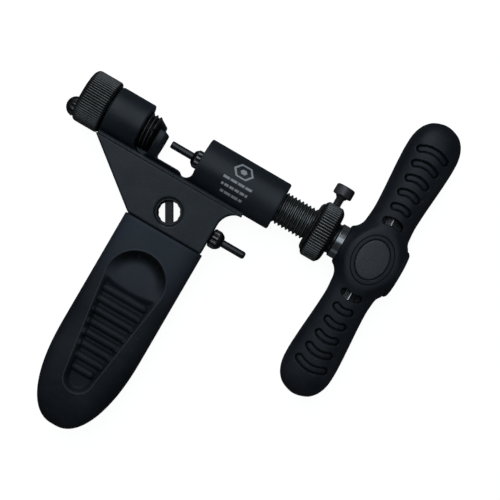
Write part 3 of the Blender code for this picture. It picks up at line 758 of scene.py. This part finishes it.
def smooth_table(table, count=400):
    """A curve with even slopes through a table's points (Hermite pieces on centred slopes)."""
    x, values = table[:, 0], table[:, 1:]
    slope = np.gradient(values, x, axis=0)
    slope[0] = 0
    at = np.linspace(x[0], x[-1], count)
    k = np.clip(np.searchsorted(x, at, side="right") - 1, 0, len(x) - 2)
    width = x[k + 1] - x[k]
    t = ((at - x[k]) / width)[:, None]
    width = width[:, None]
    rise = 3 * t ** 2 - 2 * t ** 3
    leave, arrive = t ** 3 - 2 * t ** 2 + t, t ** 3 - t ** 2
    return at, ((1 - rise) * values[k] + rise * values[k + 1]
                + width * (leave * slope[k] + arrive * slope[k + 1]))


LOBE_AT, LOBE_SIZE = smooth_table(LOBE)


def bean(u, d, distance, width):
    """Distance from a round-ended band bent along an arc that bulges away from the spindle."""
    half = width / 2
    rise = 0.17 * width
    radius = (half * half + rise * rise) / (2 * rise)
    centre = distance + 0.25 * rise - radius
    end = math.asin(half / radius) - BEAN_HALF / radius
    lean = np.clip(np.arctan2(np.abs(u), d - centre), 0, end)
    side, away = np.abs(u) - radius * np.sin(lean), d - centre - radius * np.cos(lean)
    return np.hypot(side, away) - BEAN_HALF


def handle_field(x, y, z):
    """Two lobes and a hub blended together, less the pockets, the badge seats and the bores."""
    u, d, up = x - HANDLE_X, np.abs(y - AXIS_Y), np.abs(z)
    width, thick = (np.interp(d, LOBE_AT, LOBE_SIZE[:, k]) for k in range(2))
    power = 2.35
    ratio = ((np.abs(u) / width) ** power + (up / thick) ** power) ** (1 / power)
    body = both((ratio - 1) * np.minimum(width, thick), d - LOBE[-1, 0], 2.2)
    axis_distance = from_axis(y, z)
    hub_r = np.interp(x, HUB[:, 0], HUB[:, 1])
    hub = both(axis_distance - hub_r, between(x, HUB[0, 0], HUB[-1, 0]), 0.9)
    body = either(body, hub, 3.5)
    boss = (np.hypot(u / BOSS[0], d / BOSS[1]) - 1) * BOSS[0]
    boss = both(boss, up - BOSS_TOP, 1.2)
    body = either(body, boss, 4.6)
    body = both(body, up - HANDLE_TOP, 1.6)
    seat = (np.hypot(u / (BADGE[0] + 0.16), d / (BADGE[1] + 0.16)) - 1) * 6.4
    outer = body
    body = without(body, np.maximum(seat, 9.2 - up), 0.15)
    for k, (distance, full) in enumerate(POCKETS):
        outline = bean(u, d, distance, full)
        trench = in_mm("pocket_depth") + 0.4 * fade(outline, -0.75, -0.25)
        floor = -trench - outer if k else 2.3 - up
        body = without(body, np.maximum(outline, floor), 0.18)
    bar = np.maximum(np.hypot(u, z) - 3.05, d - 19)
    body = without(body, bar, 0.2)
    body = without(body, np.maximum(axis_distance - 6.8, x - 86), 0.3)
    return without(body, np.maximum(axis_distance - 5.3, 80 - x), 0.3)


def pocket_shade_share(points):
    """1 on the walls of the pockets, where the moulding gets painted shade, 0 away from them."""
    u, d = points[:, 0] - HANDLE_X, np.abs(points[:, 1] - AXIS_Y)
    near = np.min([np.abs(bean(u, d, distance, full) + 0.12)
                   for distance, full in POCKETS], axis=0)
    return (1 - fade(near, 0.16, 0.42)) * (np.abs(points[:, 2]) > 3)


def badge_grid(side):
    """Rings of an oval from its underside to a slightly domed face."""
    underside, face = ends("badge_front", 2)
    scale = np.array([0.3, 0.99, 1.0, 1.0, 0.985, 0.95, 0.88, 0.7, 0.5, 0.3, 0.12, 0.03])
    height = np.array([0, 0, 0.1, 0.72, 0.84, 0.9, 0.92, 0.95, 0.975, 0.99, 1.0, 1.0])
    angle = np.linspace(0, 2 * math.pi, 144, endpoint=False)
    x = HANDLE_X + scale[:, None] * BADGE[0] * np.cos(angle)
    y = AXIS_Y + scale[:, None] * BADGE[1] * np.sin(angle)
    z = side * (underside + (face - underside) * height[:, None]) + 0 * angle
    return np.stack([x, y, z], axis=-1)


def hexagon_bar_grid():
    """A six-sided bar with a ridge upwards, softened at its corners and ends."""
    low, high = ends("cross_bar", 1)
    angle = np.linspace(0, 2 * math.pi, 96, endpoint=False)
    to_flat, rounded_corner = 2.62, 2.96
    sector = to_flat / np.cos((angle - math.pi / 2) % (math.pi / 3) - math.pi / 6)
    radius = np.minimum(sector, rounded_corner)
    y = np.array([low, low, low + 0.4, high - 0.4, high, high])
    scale = np.array([0.5, 0.88, 1, 1, 0.88, 0.5])
    x = HANDLE_X + scale[:, None] * radius * np.cos(angle)
    z = scale[:, None] * radius * np.sin(angle)
    return np.stack([x, y[:, None] + 0 * x, z], axis=-1)


class TOOL_OT_handle(Operator):
    """Builds the moulded T-handle with its pockets, inlays, cap and cross bar"""

    bl_idname = "tool.handle"
    bl_label = "T-handle"

    def execute(self, context):
        moulded = handle_finish()
        surface = field_skin(handle_field, *BOX["t_handle_cover"], 0.35 * FINE)
        cover = add_piece("handle_moulding", "t_handle_cover", surface, moulded,
                          sharp=0)
        # this layer marks the pocket walls, which get painted shade
        add_layer(cover, "pocket_shade", pocket_shade_share(surface[0]))
        add_piece("hexagon_bar", "cross_bar", skin(hexagon_bar_grid()),
                  steel_finish("bar_steel"), sharp=30)
        (left, right), radius, stem = ends("hub_cap"), rim("hub_cap"), 5
        flange, dish = right - 1.85, right - 0.25
        turned_piece(
            "round_cap", "hub_cap",
            [(dish, CORE_R), (dish, radius - 2.4), (right, radius - 2), (right, radius - 0.9),
             (right - 0.8, radius), (flange, radius), (flange, stem), (left, stem),
             (left, CORE_R)],
            moulded, around=144, edge=0.4)
        for side, node in ((1, "badge_front"), (-1, "badge_back")):
            add_piece(node + "_inlay", node, skin(badge_grid(side)), inlay_finish(),
                      sharp=50)
        return {"FINISHED"}


# ---------------------------------------------------------------- spare pin

class TOOL_OT_spare_pin(Operator):
    """Builds the spare pin and its fluted base, and finishes the hidden small parts"""

    bl_idname = "tool.spare_pin"
    bl_label = "Spare pin"

    def execute(self, context):
        y = ends("spare_pin_holder", 1).mean()
        shank_left, right = ends("spare_pin_holder")
        left, radius = 24.5, rim("spare_pin_holder")
        turned_piece(
            "spare_fluted_holder", "spare_pin_holder",
            [(right, PIN_BORE), (right, 1.8), (right - 0.25, 2.3), (right - 0.9, 3),
             (right - 2.1, radius), (left + 0.5, radius), (left, radius - 0.5),
             (left, HOLDER_SHANK), (shank_left, HOLDER_SHANK), (shank_left, PIN_BORE)],
            oxide_finish("spare_oxide", wear_and_highlight=0.7, crest=(y, radius, in_mm("flute_depth"))),
            centre=(0, y, 0), around=176, edge=0.4, step=0.25, loop=True,
            ripple=outside_only(flutes(left + 1.2, right - 0.1), 2.1), sharp=0)
        near, far = ends("spare_pin")
        turned_piece(
            "spare_pin_rod", "spare_pin",
            [(near, PIN_CORE_R), (near, PIN_R), (far - 0.7, PIN_R), (far - 0.15, PIN_R - 0.35),
             (far, 0.55), (far, PIN_CORE_R)],
            oxide_finish("spare_pin_steel", wear_and_highlight=0.45, roughness=0.3), centre=(0, y, 0),
            around=72)
        # the pad and the grub screw keep their solids and get finishes of their own
        for node, material in (("clamp_pad", nylon_finish()),
                               ("bar_lock_screw", oxide_finish("grub_oxide", wear_and_highlight=0.4))):
            for slot in frame["nodes"][node].material_slots:
                slot.material = material
        return {"FINISHED"}


# ---------------------------------------------------------------- shader graphs

class Graph:
    """Short ways to add and join nodes in one tree."""

    def __init__(self, tree):
        self.tree = tree

    def add(self, kind, **settings):
        node = self.tree.nodes.new(kind)
        for key, value in settings.items():
            setattr(node, key, value)
        return node

    def give(self, socket, value):
        """Joins a socket to another one, or sets it."""
        if isinstance(value, bpy.types.NodeSocket):
            self.tree.links.new(value, socket)
        else:
            socket.default_value = value

    def feed(self, node, **values):
        """Joins or sets sockets by name, with _ for a space."""
        for key, value in values.items():
            self.give(node.inputs[key.replace("_", " ")], value)
        return node

    def math(self, operation, *values, clamp=False):
        node = self.add("ShaderNodeMath", operation=operation, use_clamp=clamp)
        for socket, value in zip(node.inputs, values):
            self.give(socket, value)
        return node.outputs[0]

    def plus(self, a, b, clamp=False):
        return self.math("ADD", a, b, clamp=clamp)

    def minus(self, a, b):
        return self.math("SUBTRACT", a, b)

    def times(self, a, b, clamp=False):
        return self.math("MULTIPLY", a, b, clamp=clamp)

    def off(self, value, middle):
        """How far a value is from a middle."""
        return self.math("ABSOLUTE", self.minus(value, middle))

    def length(self, u, v):
        return self.math("SQRT", self.plus(self.times(u, u), self.times(v, v)))

    def remap(self, value, low, high, to_low=0.0, to_high=1.0):
        node = self.add("ShaderNodeMapRange", interpolation_type="SMOOTHSTEP")
        self.feed(node, Value=value, From_Min=low, From_Max=high, To_Min=to_low, To_Max=to_high)
        return node.outputs[0]

    def noise(self, vector, scale, detail=2.0, roughness=0.5):
        node = self.add("ShaderNodeTexNoise")
        self.feed(node, Vector=vector, Scale=scale, Detail=detail, Roughness=roughness)
        return node.outputs["Fac"]

    def parts(self, vector):
        return self.feed(self.add("ShaderNodeSeparateXYZ"), Vector=vector).outputs

    def blend(self, factor, a, b):
        node = self.add("ShaderNodeMix", data_type="RGBA")
        self.give(node.inputs[0], factor)
        for socket, value in ((node.inputs[6], a), (node.inputs[7], b)):
            self.give(socket, value if isinstance(value, bpy.types.NodeSocket) else (*value, 1))
        return node.outputs[2]


def new_group(name, inputs, outputs):
    """A shader group that takes a Vector and numbers and gives numbers: its graph, what it is
    given, and its output node."""
    group = bpy.data.node_groups.new(name, "ShaderNodeTree")
    group.interface.new_socket(name="Vector", in_out="INPUT", socket_type="NodeSocketVector")
    for label, default in inputs.items():
        socket = group.interface.new_socket(name=label, in_out="INPUT",
                                            socket_type="NodeSocketFloat")
        socket.default_value = default
    for label in outputs:
        group.interface.new_socket(name=label, in_out="OUTPUT", socket_type="NodeSocketFloat")
    g = Graph(group)
    return g, g.add("NodeGroupInput").outputs, g.add("NodeGroupOutput")


def build_grain(name):
    """Fine grain for bumps and two scales of patches for colour and roughness."""
    g, given, made = new_group(name, {"Grain Scale": 900.0, "Patch Scale": 60.0},
                               ("Grain", "Patches", "Specks"))
    vector, scale = given["Vector"], given["Grain Scale"]
    dots = g.noise(vector, g.times(scale, 0.55), 1.0, 0.3)
    g.feed(made, Grain=g.noise(vector, scale, 3.0, 0.6),
           Patches=g.noise(vector, given["Patch Scale"], 4.0, 0.6),
           Specks=g.remap(dots, 0.70, 0.80))
    return g.tree


def build_edge_rub(name):
    """Where raised edges are rubbed, broken up by noise, and where hollows are, which the finishes
    darken as painted shade.
    """
    g, given, made = new_group(name, {"Start": 0.53, "End": 0.60, "Amount": 0.5},
                               ("Mask", "Hollow"))
    pointiness = g.add("ShaderNodeNewGeometry").outputs["Pointiness"]
    raised = g.remap(pointiness, given["Start"], given["End"])
    broken = g.remap(g.noise(given["Vector"], 420.0, 4.0, 0.7), 0.32, 0.68)
    g.feed(made, Mask=g.times(g.times(raised, broken), given["Amount"], clamp=True),
           Hollow=g.remap(pointiness, 0.49, 0.42))
    return g.tree


def build_crest(name):
    """Crests and roots of threads, knurls and flutes, by the distance from the axis. The finishes
    paint the crests bright, partly as wear and partly as highlight, and give the roots painted
    shade on oxide and a painted reflection on the spindle.
    """
    g, given, made = new_group(name, {"Axis Y": 0.0, "Full Radius": 0.01, "Root Radius": 0.009},
                               ("Crest", "Root"))
    x, y, z = g.parts(given["Vector"])
    full, root = given["Full Radius"], given["Root Radius"]
    radius = g.length(g.minus(y, given["Axis Y"]), z)
    share = g.math("DIVIDE", g.minus(radius, root), g.minus(full, root))
    broken = g.remap(g.noise(given["Vector"], 380.0, 4.0, 0.7), 0.25, 0.65, 0.35, 1.0)
    g.feed(made, Crest=g.times(g.remap(share, 0.72, 0.98), broken),
           Root=g.remap(share, 0.55, 0.05))
    return g.tree


def build_lint(name):
    """Pale flecks and a thin film of dust."""
    g, given, made = new_group(name, {"Amount": 0.3}, ("Mask",))
    flecks = g.remap(g.noise(given["Vector"], 1500.0, 1.0, 0.2), 0.76, 0.82)
    film = g.remap(g.noise(given["Vector"], 45.0, 5.0, 0.65), 0.40, 0.75)
    total = g.plus(g.times(flecks, 0.8), g.times(film, 0.22))
    g.feed(made, Mask=g.times(total, given["Amount"], clamp=True))
    return g.tree


def shade(colour, share):
    return tuple(share * c for c in colour)


class Finish(Graph):
    """A material's graph, with its Principled shader, its Object coordinates and its grain."""

    def __init__(self, name, grain_scale=None, patch_scale=None):
        self.material = bpy.data.materials.new(name)
        self.material.use_nodes = True
        super().__init__(self.material.node_tree)
        self.shader = self.tree.nodes["Principled BSDF"]
        self.vector = self.add("ShaderNodeTexCoord").outputs["Object"]
        if grain_scale:
            self.grain = self.group("fine grain", build_grain, Grain_Scale=grain_scale,
                                    Patch_Scale=patch_scale)

    def group(self, name, build, **values):
        """What a shared group gives. The group is built once and found again by name."""
        tree = bpy.data.node_groups.get(name) or build(name)
        node = self.add("ShaderNodeGroup", node_tree=tree)
        return self.feed(node, Vector=self.vector, **values).outputs

    def rub(self, start, end, amount):
        return self.group("edge rub", build_edge_rub, Start=start, End=end, Amount=amount)

    def crest(self, axis_y, radius, depth):
        return self.group("crest band", build_crest, Axis_Y=axis_y * MM,
                          Full_Radius=radius * MM, Root_Radius=(radius - depth) * MM)

    def mottled(self, base, dark):
        """A colour with darker patches."""
        return self.blend(self.remap(self.grain["Patches"], 0.3, 0.7), shade(base, dark), base)

    def patchy(self, low, high):
        """A roughness that varies with the patches."""
        return self.remap(self.grain["Patches"], 0.25, 0.75, low, high)

    def streaks(self, stretch, scale):
        """Noise drawn out along some axes."""
        mapped = self.feed(self.add("ShaderNodeMapping"), Vector=self.vector, Scale=stretch)
        return self.noise(mapped.outputs[0], scale, 2.0, 0.6)

    def layer(self, name):
        return self.add("ShaderNodeAttribute", attribute_name=name).outputs["Fac"]

    def bump(self, height, distance, strength):
        """Bump with its distance in millimetres."""
        node = self.feed(self.add("ShaderNodeBump"), Height=height, Distance=distance * MM,
                         Strength=strength)
        return node.outputs["Normal"]

    def done(self, **values):
        self.feed(self.shader, **values)
        return self.material


# ---------------------------------------------------------------- finishes

MARK_X, MARK_FRONT = 23.4, 3.5
# height, half length and block length of each row of blocks
MARK_ROWS = ((6.5, 6.0, 1.5), (3.95, 5.3, 1.06), (1.45, 4.4, 1.47))
ROW_HALF, ROW_GAP = 0.46, 0.2
HEXAGON_Y, HEXAGON_RADII, HEXAGON_CORE = 11.0, (2.5, 1.95), 0.85
DUST_GREY = (0.25, 0.25, 0.26)
# near black for the scribed oval line and for the painted shade on the pocket walls
PIT_BLACK = (0.0005, 0.0005, 0.0006)


def mark_mask(g):
    """A plain six-sided outline over three rows of plain blocks, on the barrel's upper side."""
    x, y, z = g.parts(g.vector)
    across = g.off(x, MARK_X * MM)
    total = None
    for middle, half, block_length in MARK_ROWS:
        bar = g.times(g.math("LESS_THAN", across, half * MM),
                      g.math("LESS_THAN", g.off(y, middle * MM), ROW_HALF * MM))
        place = g.math("PINGPONG", across, block_length * MM)
        bar = g.times(bar, g.math("GREATER_THAN", place, ROW_GAP * MM))
        total = g.math("MAXIMUM", total, bar) if total else bar
    up = g.off(y, HEXAGON_Y * MM)
    slanted = g.plus(g.times(across, 0.62), g.times(up, 0.50))
    size = g.math("MAXIMUM", slanted, up)
    outline = g.times(g.math("LESS_THAN", size, HEXAGON_RADII[0] * MM),
                      g.math("GREATER_THAN", size, HEXAGON_RADII[1] * MM))
    core = g.math("LESS_THAN", size, HEXAGON_CORE * MM)
    total = g.math("MAXIMUM", total, g.math("MAXIMUM", outline, core))
    return g.times(total, g.math("GREATER_THAN", z, MARK_FRONT * MM))


def frame_finish():
    """Blasted and blackened steel, rubbed along its edges, with a pale etched mark."""
    g = Finish("frame_black", 1500.0, 70.0)
    rub = g.rub(0.525, 0.60, 0.55)
    dust = g.group("lint", build_lint, Amount=0.10)
    base = colours().frame_black
    colour = g.mottled(base, 0.72)
    colour = g.blend(g.times(g.grain["Specks"], 0.35), colour, shade(base, 2.6))
    colour = g.blend(rub["Mask"], colour, (0.12, 0.12, 0.125))
    colour = g.blend(dust["Mask"], colour, DUST_GREY)
    mark = mark_mask(g)
    scuffs_and_painted_light = g.remap(g.noise(g.vector, 2600.0, 2.0, 0.6), 0.22, 0.42, 0.55, 1.0)
    colour = g.blend(g.times(mark, scuffs_and_painted_light), colour, colours().mark_silver)
    height = g.minus(g.grain["Grain"], g.times(mark, 0.5))
    return g.done(Base_Color=colour, Metallic=0.0, Specular_IOR_Level=0.25,
                  Roughness=g.minus(g.patchy(0.44, 0.58), g.times(rub["Mask"], 0.2)),
                  Normal=g.bump(height, 0.06, 0.55))


def oxide_finish(name, wear_and_highlight=0.5, roughness=0.38, crest=None, tone_and_painted_light=1.0):
    """Black oxide with rubbed edges and painted shade in its hollows, its base scaled by
    tone_and_painted_light: painted shade on the window ring, painted light on the thumb screw.
    crest is the axis height, full radius and depth of a thread, knurl or fluting whose crests
    are painted bright, partly as wear and partly as highlight, and whose roots get painted shade."""
    g = Finish(name, 1900.0, 160.0)
    rub = g.rub(0.52, 0.60, wear_and_highlight)
    colour = g.mottled(shade(colours().oxide_black, tone_and_painted_light), 0.6)
    colour = g.blend(rub["Mask"], colour, (0.20, 0.195, 0.185))
    # painted shade: hollows darkened to near black
    colour = g.blend(g.times(rub["Hollow"], 0.75), colour, (0.004, 0.004, 0.004))
    if crest:
        # crests get a light colour that is partly wear and partly a painted highlight; roots get
        # painted shade
        scuffs_and_painted_light = g.crest(*crest)
        colour = g.blend(g.times(scuffs_and_painted_light["Crest"], wear_and_highlight), colour, (0.24, 0.235, 0.225))
        colour = g.blend(scuffs_and_painted_light["Root"], colour, (0.003, 0.003, 0.003))
    return g.done(Base_Color=colour, Metallic=0.55, Specular_IOR_Level=0.35,
                  Roughness=g.patchy(roughness - 0.07, roughness + 0.10),
                  Normal=g.bump(g.grain["Grain"], 0.03, 0.5))


def thread_finish():
    """The spindle: oily black thread with crests painted bright, partly as wear and partly as
    highlight, a painted reflection in its roots, and a bare turned collar.
    """
    g = Finish("spindle_oxide", 2100.0, 220.0)
    rub = g.rub(0.515, 0.585, 0.3)
    scuffs_and_painted_light = g.crest(AXIS_Y, SPINDLE_CREST, in_mm("thread_depth"))
    collar = g.remap(g.parts(g.vector)[0], 63.9 * MM, 64.2 * MM)
    rings = g.streaks((1.0, 0.02, 0.02), 5200.0)
    colour = g.mottled(colours().oxide_black, 0.5)
    colour = g.blend(rub["Mask"], colour, (0.15, 0.15, 0.145))
    # crests painted light, partly wear and partly a painted highlight; roots painted lighter as a
    # painted reflection
    colour = g.blend(scuffs_and_painted_light["Crest"], colour, (0.17, 0.17, 0.165))
    colour = g.blend(scuffs_and_painted_light["Root"], colour, (0.10, 0.10, 0.097))
    colour = g.blend(collar, colour, g.blend(rings, (0.09, 0.09, 0.09), (0.19, 0.19, 0.19)))
    height = g.plus(g.times(g.grain["Grain"], 0.5), rings)
    return g.done(Base_Color=colour, Metallic=0.8,
                  Roughness=g.minus(g.patchy(0.25, 0.36), g.times(collar, 0.12)),
                  Normal=g.bump(height, 0.02, 0.45))


def steel_finish(name):
    """Ground bright steel with fine lengthwise lines."""
    g = Finish(name, 1600.0, 200.0)
    lines = g.streaks((1.0, 0.03, 1.0), 4200.0)
    base = colours().bright_steel
    colour = g.blend(g.remap(lines, 0.3, 0.7), shade(base, 0.6), base)
    colour = g.blend(g.remap(g.grain["Patches"], 0.5, 0.75), colour, shade(base, 0.45))
    return g.done(Base_Color=colour, Metallic=1.0, Roughness=g.patchy(0.36, 0.50),
                  Normal=g.bump(lines, 0.02, 0.4))


def rubber_finish(name, base, roughness, grain_scale, specular):
    """Moulded matt rubber: fine spark grain, faint patches, polish on edges, painted shade in the
    hollows and a little lint.
    Gives its graph, its colour and its roughness."""
    g = Finish(name, grain_scale, 38.0)
    rub = g.rub(0.51, 0.58, 0.5)
    dust = g.group("lint", build_lint, Amount=0.16)
    colour = g.blend(rub["Mask"], g.mottled(base, 0.75), shade(base, 2.4))
    # painted shade: hollows darkened
    colour = g.blend(g.times(rub["Hollow"], 0.6), colour, shade(base, 0.3))
    colour = g.blend(dust["Mask"], colour, (0.20, 0.20, 0.21))
    rough = g.patchy(roughness - 0.05, roughness + 0.09)
    g.feed(g.shader, Specular_IOR_Level=specular)
    return g, colour, g.minus(rough, g.times(rub["Mask"], 0.12))


def grip_finish():
    """Rubber that is greyer towards its upper end, with a painted highlight along the bead round
    the recess and painted shade on the steep wall at the top of the recess."""
    g, colour, rough = rubber_finish("grip_rubber", colours().grip_black, 0.54, 900.0, 0.15)
    # the grip is made greyer towards its upper end
    greyer_to_top = g.remap(g.parts(g.vector)[1], -62 * MM, -25 * MM, 0.0, 0.9)
    colour = g.blend(greyer_to_top, colour, (0.0210, 0.0255, 0.0320))
    # painted shade: the steep top wall of the scoop is darkened nearly to black, broken up by
    # blotches
    blotches = g.remap(g.noise(g.vector, 520.0, 3.0, 0.6), 0.25, 0.6, 0.7, 1.0)
    scoop_shade = g.times(g.layer("scoop_shade"), blotches)
    colour = g.blend(scoop_shade, colour, (0.0006, 0.0007, 0.0008))
    # painted highlight: a lighter line along the crest of the bead round the recess
    colour = g.blend(g.times(g.layer("bead"), 0.45), colour, (0.075, 0.080, 0.088))
    return g.done(Base_Color=colour, Roughness=g.plus(rough, g.times(scoop_shade, 0.35), clamp=True),
                  Normal=g.bump(g.grain["Grain"], 0.09, 0.5))


def handle_finish():
    """Moulded rubber with one fine oval line scribed round each inlay, and painted shade along the
    pocket walls.
    """
    g, colour, rough = rubber_finish("handle_rubber", colours().handle_black, 0.5, 1100.0, 0.20)
    x, y, z = g.parts(g.vector)
    u, v = (g.math("DIVIDE", g.minus(place, middle * MM), reach * MM)
            for place, middle, reach in ((x, HANDLE_X, OVAL_LINE[0]), (y, AXIS_Y, OVAL_LINE[1])))
    face = g.math("GREATER_THAN", g.math("ABSOLUTE", z), 8 * MM)
    line = g.times(g.remap(g.off(g.length(u, v), 1.0), 0.026, 0.014), face)
    # painted shade: the pocket walls are darkened to near black
    edge = g.layer("pocket_shade")
    colour = g.blend(line, g.blend(edge, colour, PIT_BLACK), PIT_BLACK)
    height = g.minus(g.grain["Grain"], g.times(line, 6.0))
    return g.done(Base_Color=colour, Normal=g.bump(height, 0.09, 0.5),
                  Roughness=g.math("MAXIMUM", rough, g.math("MAXIMUM", line, edge)))


def inlay_finish():
    """The ovals in the T-handle: a little greyer and coarser than the moulding round them."""
    g, colour, rough = rubber_finish("inlay_rubber", colours().handle_black, 0.46, 1500.0, 0.36)
    specks = g.remap(g.noise(g.vector, 1900.0, 1.0, 0.3), 0.5, 0.78)
    return g.done(Base_Color=g.blend(specks, colour, (0.016, 0.016, 0.017)), Roughness=rough,
                  Normal=g.bump(g.grain["Grain"], 0.07, 0.7))


def nylon_finish():
    """Pale clamping pad, slightly cloudy."""
    g = Finish("pad_nylon", 1200.0, 300.0)
    patches = g.grain["Patches"]
    return g.done(Base_Color=g.blend(patches, (0.50, 0.49, 0.44), (0.66, 0.65, 0.60)),
                  Roughness=g.remap(patches, 0.3, 0.7, 0.4, 0.55),
                  Normal=g.bump(g.grain["Grain"], 0.03, 0.4))


# ---------------------------------------------------------------- stage

STAGE_CENTRE = (39.2 * MM, -11.9 * MM)
CAMERA_HEIGHT = 0.55
CAMERA_LENS = 108.9
CAMERA_ROLL = math.radians(30.2)
FLOOR_REACH = 3.0
FLOOR_GLOW = 0.95
SKY_STRENGTH = 0.05
COOL_WHITE = (0.86, 0.98, 1.10)
# name, turn and height in degrees, distance, size and power of each softbox
SOFTBOXES = (("overhead_softbox", 0, 78, 1.0, (0.7, 0.6), 3.7),
             ("key_softbox", 2, 42, 0.9, (0.8, 0.5), 3.7),
             ("side_softbox", 75, 30, 0.9, (0.6, 0.5), 0.8),
             ("fill_softbox", -115, 14, 1.0, (0.9, 0.4), 0.55),
             ("low_softbox", 170, 14, 1.0, (0.9, 0.4), 0.45))


def add_softbox(name, turn, height, distance, size, power):
    """An area light aimed at the tool, with turn 0 at the top of the camera's frame."""
    turn, height = math.radians(turn) + CAMERA_ROLL, math.radians(height)
    light = bpy.data.lights.new(name, "AREA")
    light.shape = "RECTANGLE"
    light.size, light.size_y = size
    light.energy = power
    light.color = COOL_WHITE
    lamp = bpy.data.objects.new(name, light)
    across = distance * math.cos(height)
    lamp.location = (STAGE_CENTRE[0] - across * math.sin(turn),
                     STAGE_CENTRE[1] + across * math.cos(turn), distance * math.sin(height))
    lamp.rotation_euler = (math.pi / 2 - height, 0, turn + math.pi)
    bpy.context.scene.collection.objects.link(lamp)


def glow_to_camera(g):
    """1 for what the camera sees itself, 0 for light that bounces, and the glow's strength."""
    seen = g.add("ShaderNodeLightPath").outputs["Is Camera Ray"]
    return seen, g.times(seen, FLOOR_GLOW)


def floor_finish():
    """Pale floor whose white is given to the camera only."""
    g = Finish("studio_floor")
    white = colours().floor_white
    colour = g.blend(g.noise(g.vector, 6.0, 3.0, 0.5), shade(white, 0.985), white)
    return g.done(Base_Color=colour, Roughness=0.9, Specular_IOR_Level=0.1,
                  Emission_Color=(1, 1, 1, 1), Emission_Strength=glow_to_camera(g)[1])


class TOOL_OT_stage(Operator):
    """Builds the pale floor, the soft lights and the camera"""

    bl_idname = "tool.stage"
    bl_label = "Stage"

    def execute(self, context):
        scene = context.scene
        level = (FLOOR_Z - 0.05) * MM
        mesh = bpy.data.meshes.new("studio_floor")
        corners = ((-1, -1), (1, -1), (1, 1), (-1, 1))
        mesh.from_pydata([(FLOOR_REACH * x, FLOOR_REACH * y, level) for x, y in corners], [],
                         [(0, 1, 2, 3)])
        mesh.materials.append(floor_finish())
        floor = bpy.data.objects.new("studio_floor", mesh)
        scene.collection.objects.link(floor)
        for softbox in SOFTBOXES:
            add_softbox(*softbox)
        world = bpy.data.worlds.new("pale_studio")
        world.use_nodes = True
        g = Graph(world.node_tree)
        seen, glow = glow_to_camera(g)
        g.feed(world.node_tree.nodes["Background"],
               Color=g.blend(seen, COOL_WHITE, (1.0, 1.0, 1.0)),
               Strength=g.plus(glow, SKY_STRENGTH))
        scene.world = world

        camera = bpy.data.cameras.new("studio_camera")
        camera.lens = CAMERA_LENS
        camera.sensor_width = 36
        holder = bpy.data.objects.new("studio_camera", camera)
        holder.location = (*STAGE_CENTRE, CAMERA_HEIGHT)
        holder.rotation_euler = (0, 0, CAMERA_ROLL)
        scene.collection.objects.link(holder)
        scene.camera = holder
        scene.view_settings.view_transform = "Standard"
        return {"FINISHED"}


# ---------------------------------------------------------------- add-on

class TOOL_PT_panel(Panel):
    """Sizes, colours and build steps of the chain tool"""

    bl_label = "Chain tool"
    bl_idname = "TOOL_PT_panel"
    bl_space_type = "VIEW_3D"
    bl_region_type = "UI"
    bl_category = "Chain tool"

    def draw(self, context):
        for group in (context.scene.tool_sizes, context.scene.tool_colours):
            box = self.layout.box()
            for name in group.__annotations__:
                box.prop(group, name)
        for operator in BUILD_ORDER:
            self.layout.operator(operator.bl_idname)


BUILD_ORDER = (TOOL_OT_stage, TOOL_OT_forging, TOOL_OT_grip, TOOL_OT_anvil, TOOL_OT_spindle,
               TOOL_OT_stop_ring, TOOL_OT_handle, TOOL_OT_spare_pin)
CLASSES = (ToolSizes, ToolColours, *BUILD_ORDER, TOOL_PT_panel)


def register():
    for cls in CLASSES:
        bpy.utils.register_class(cls)
    bpy.types.Scene.tool_sizes = PointerProperty(type=ToolSizes)
    bpy.types.Scene.tool_colours = PointerProperty(type=ToolColours)


def unregister():
    del bpy.types.Scene.tool_colours
    del bpy.types.Scene.tool_sizes
    for cls in reversed(CLASSES):
        bpy.utils.unregister_class(cls)


def main():
    register()
    for operator in BUILD_ORDER:
        getattr(bpy.ops.tool, operator.bl_idname.split(".")[1])()
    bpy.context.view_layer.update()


if __name__ == "__main__":
    main()
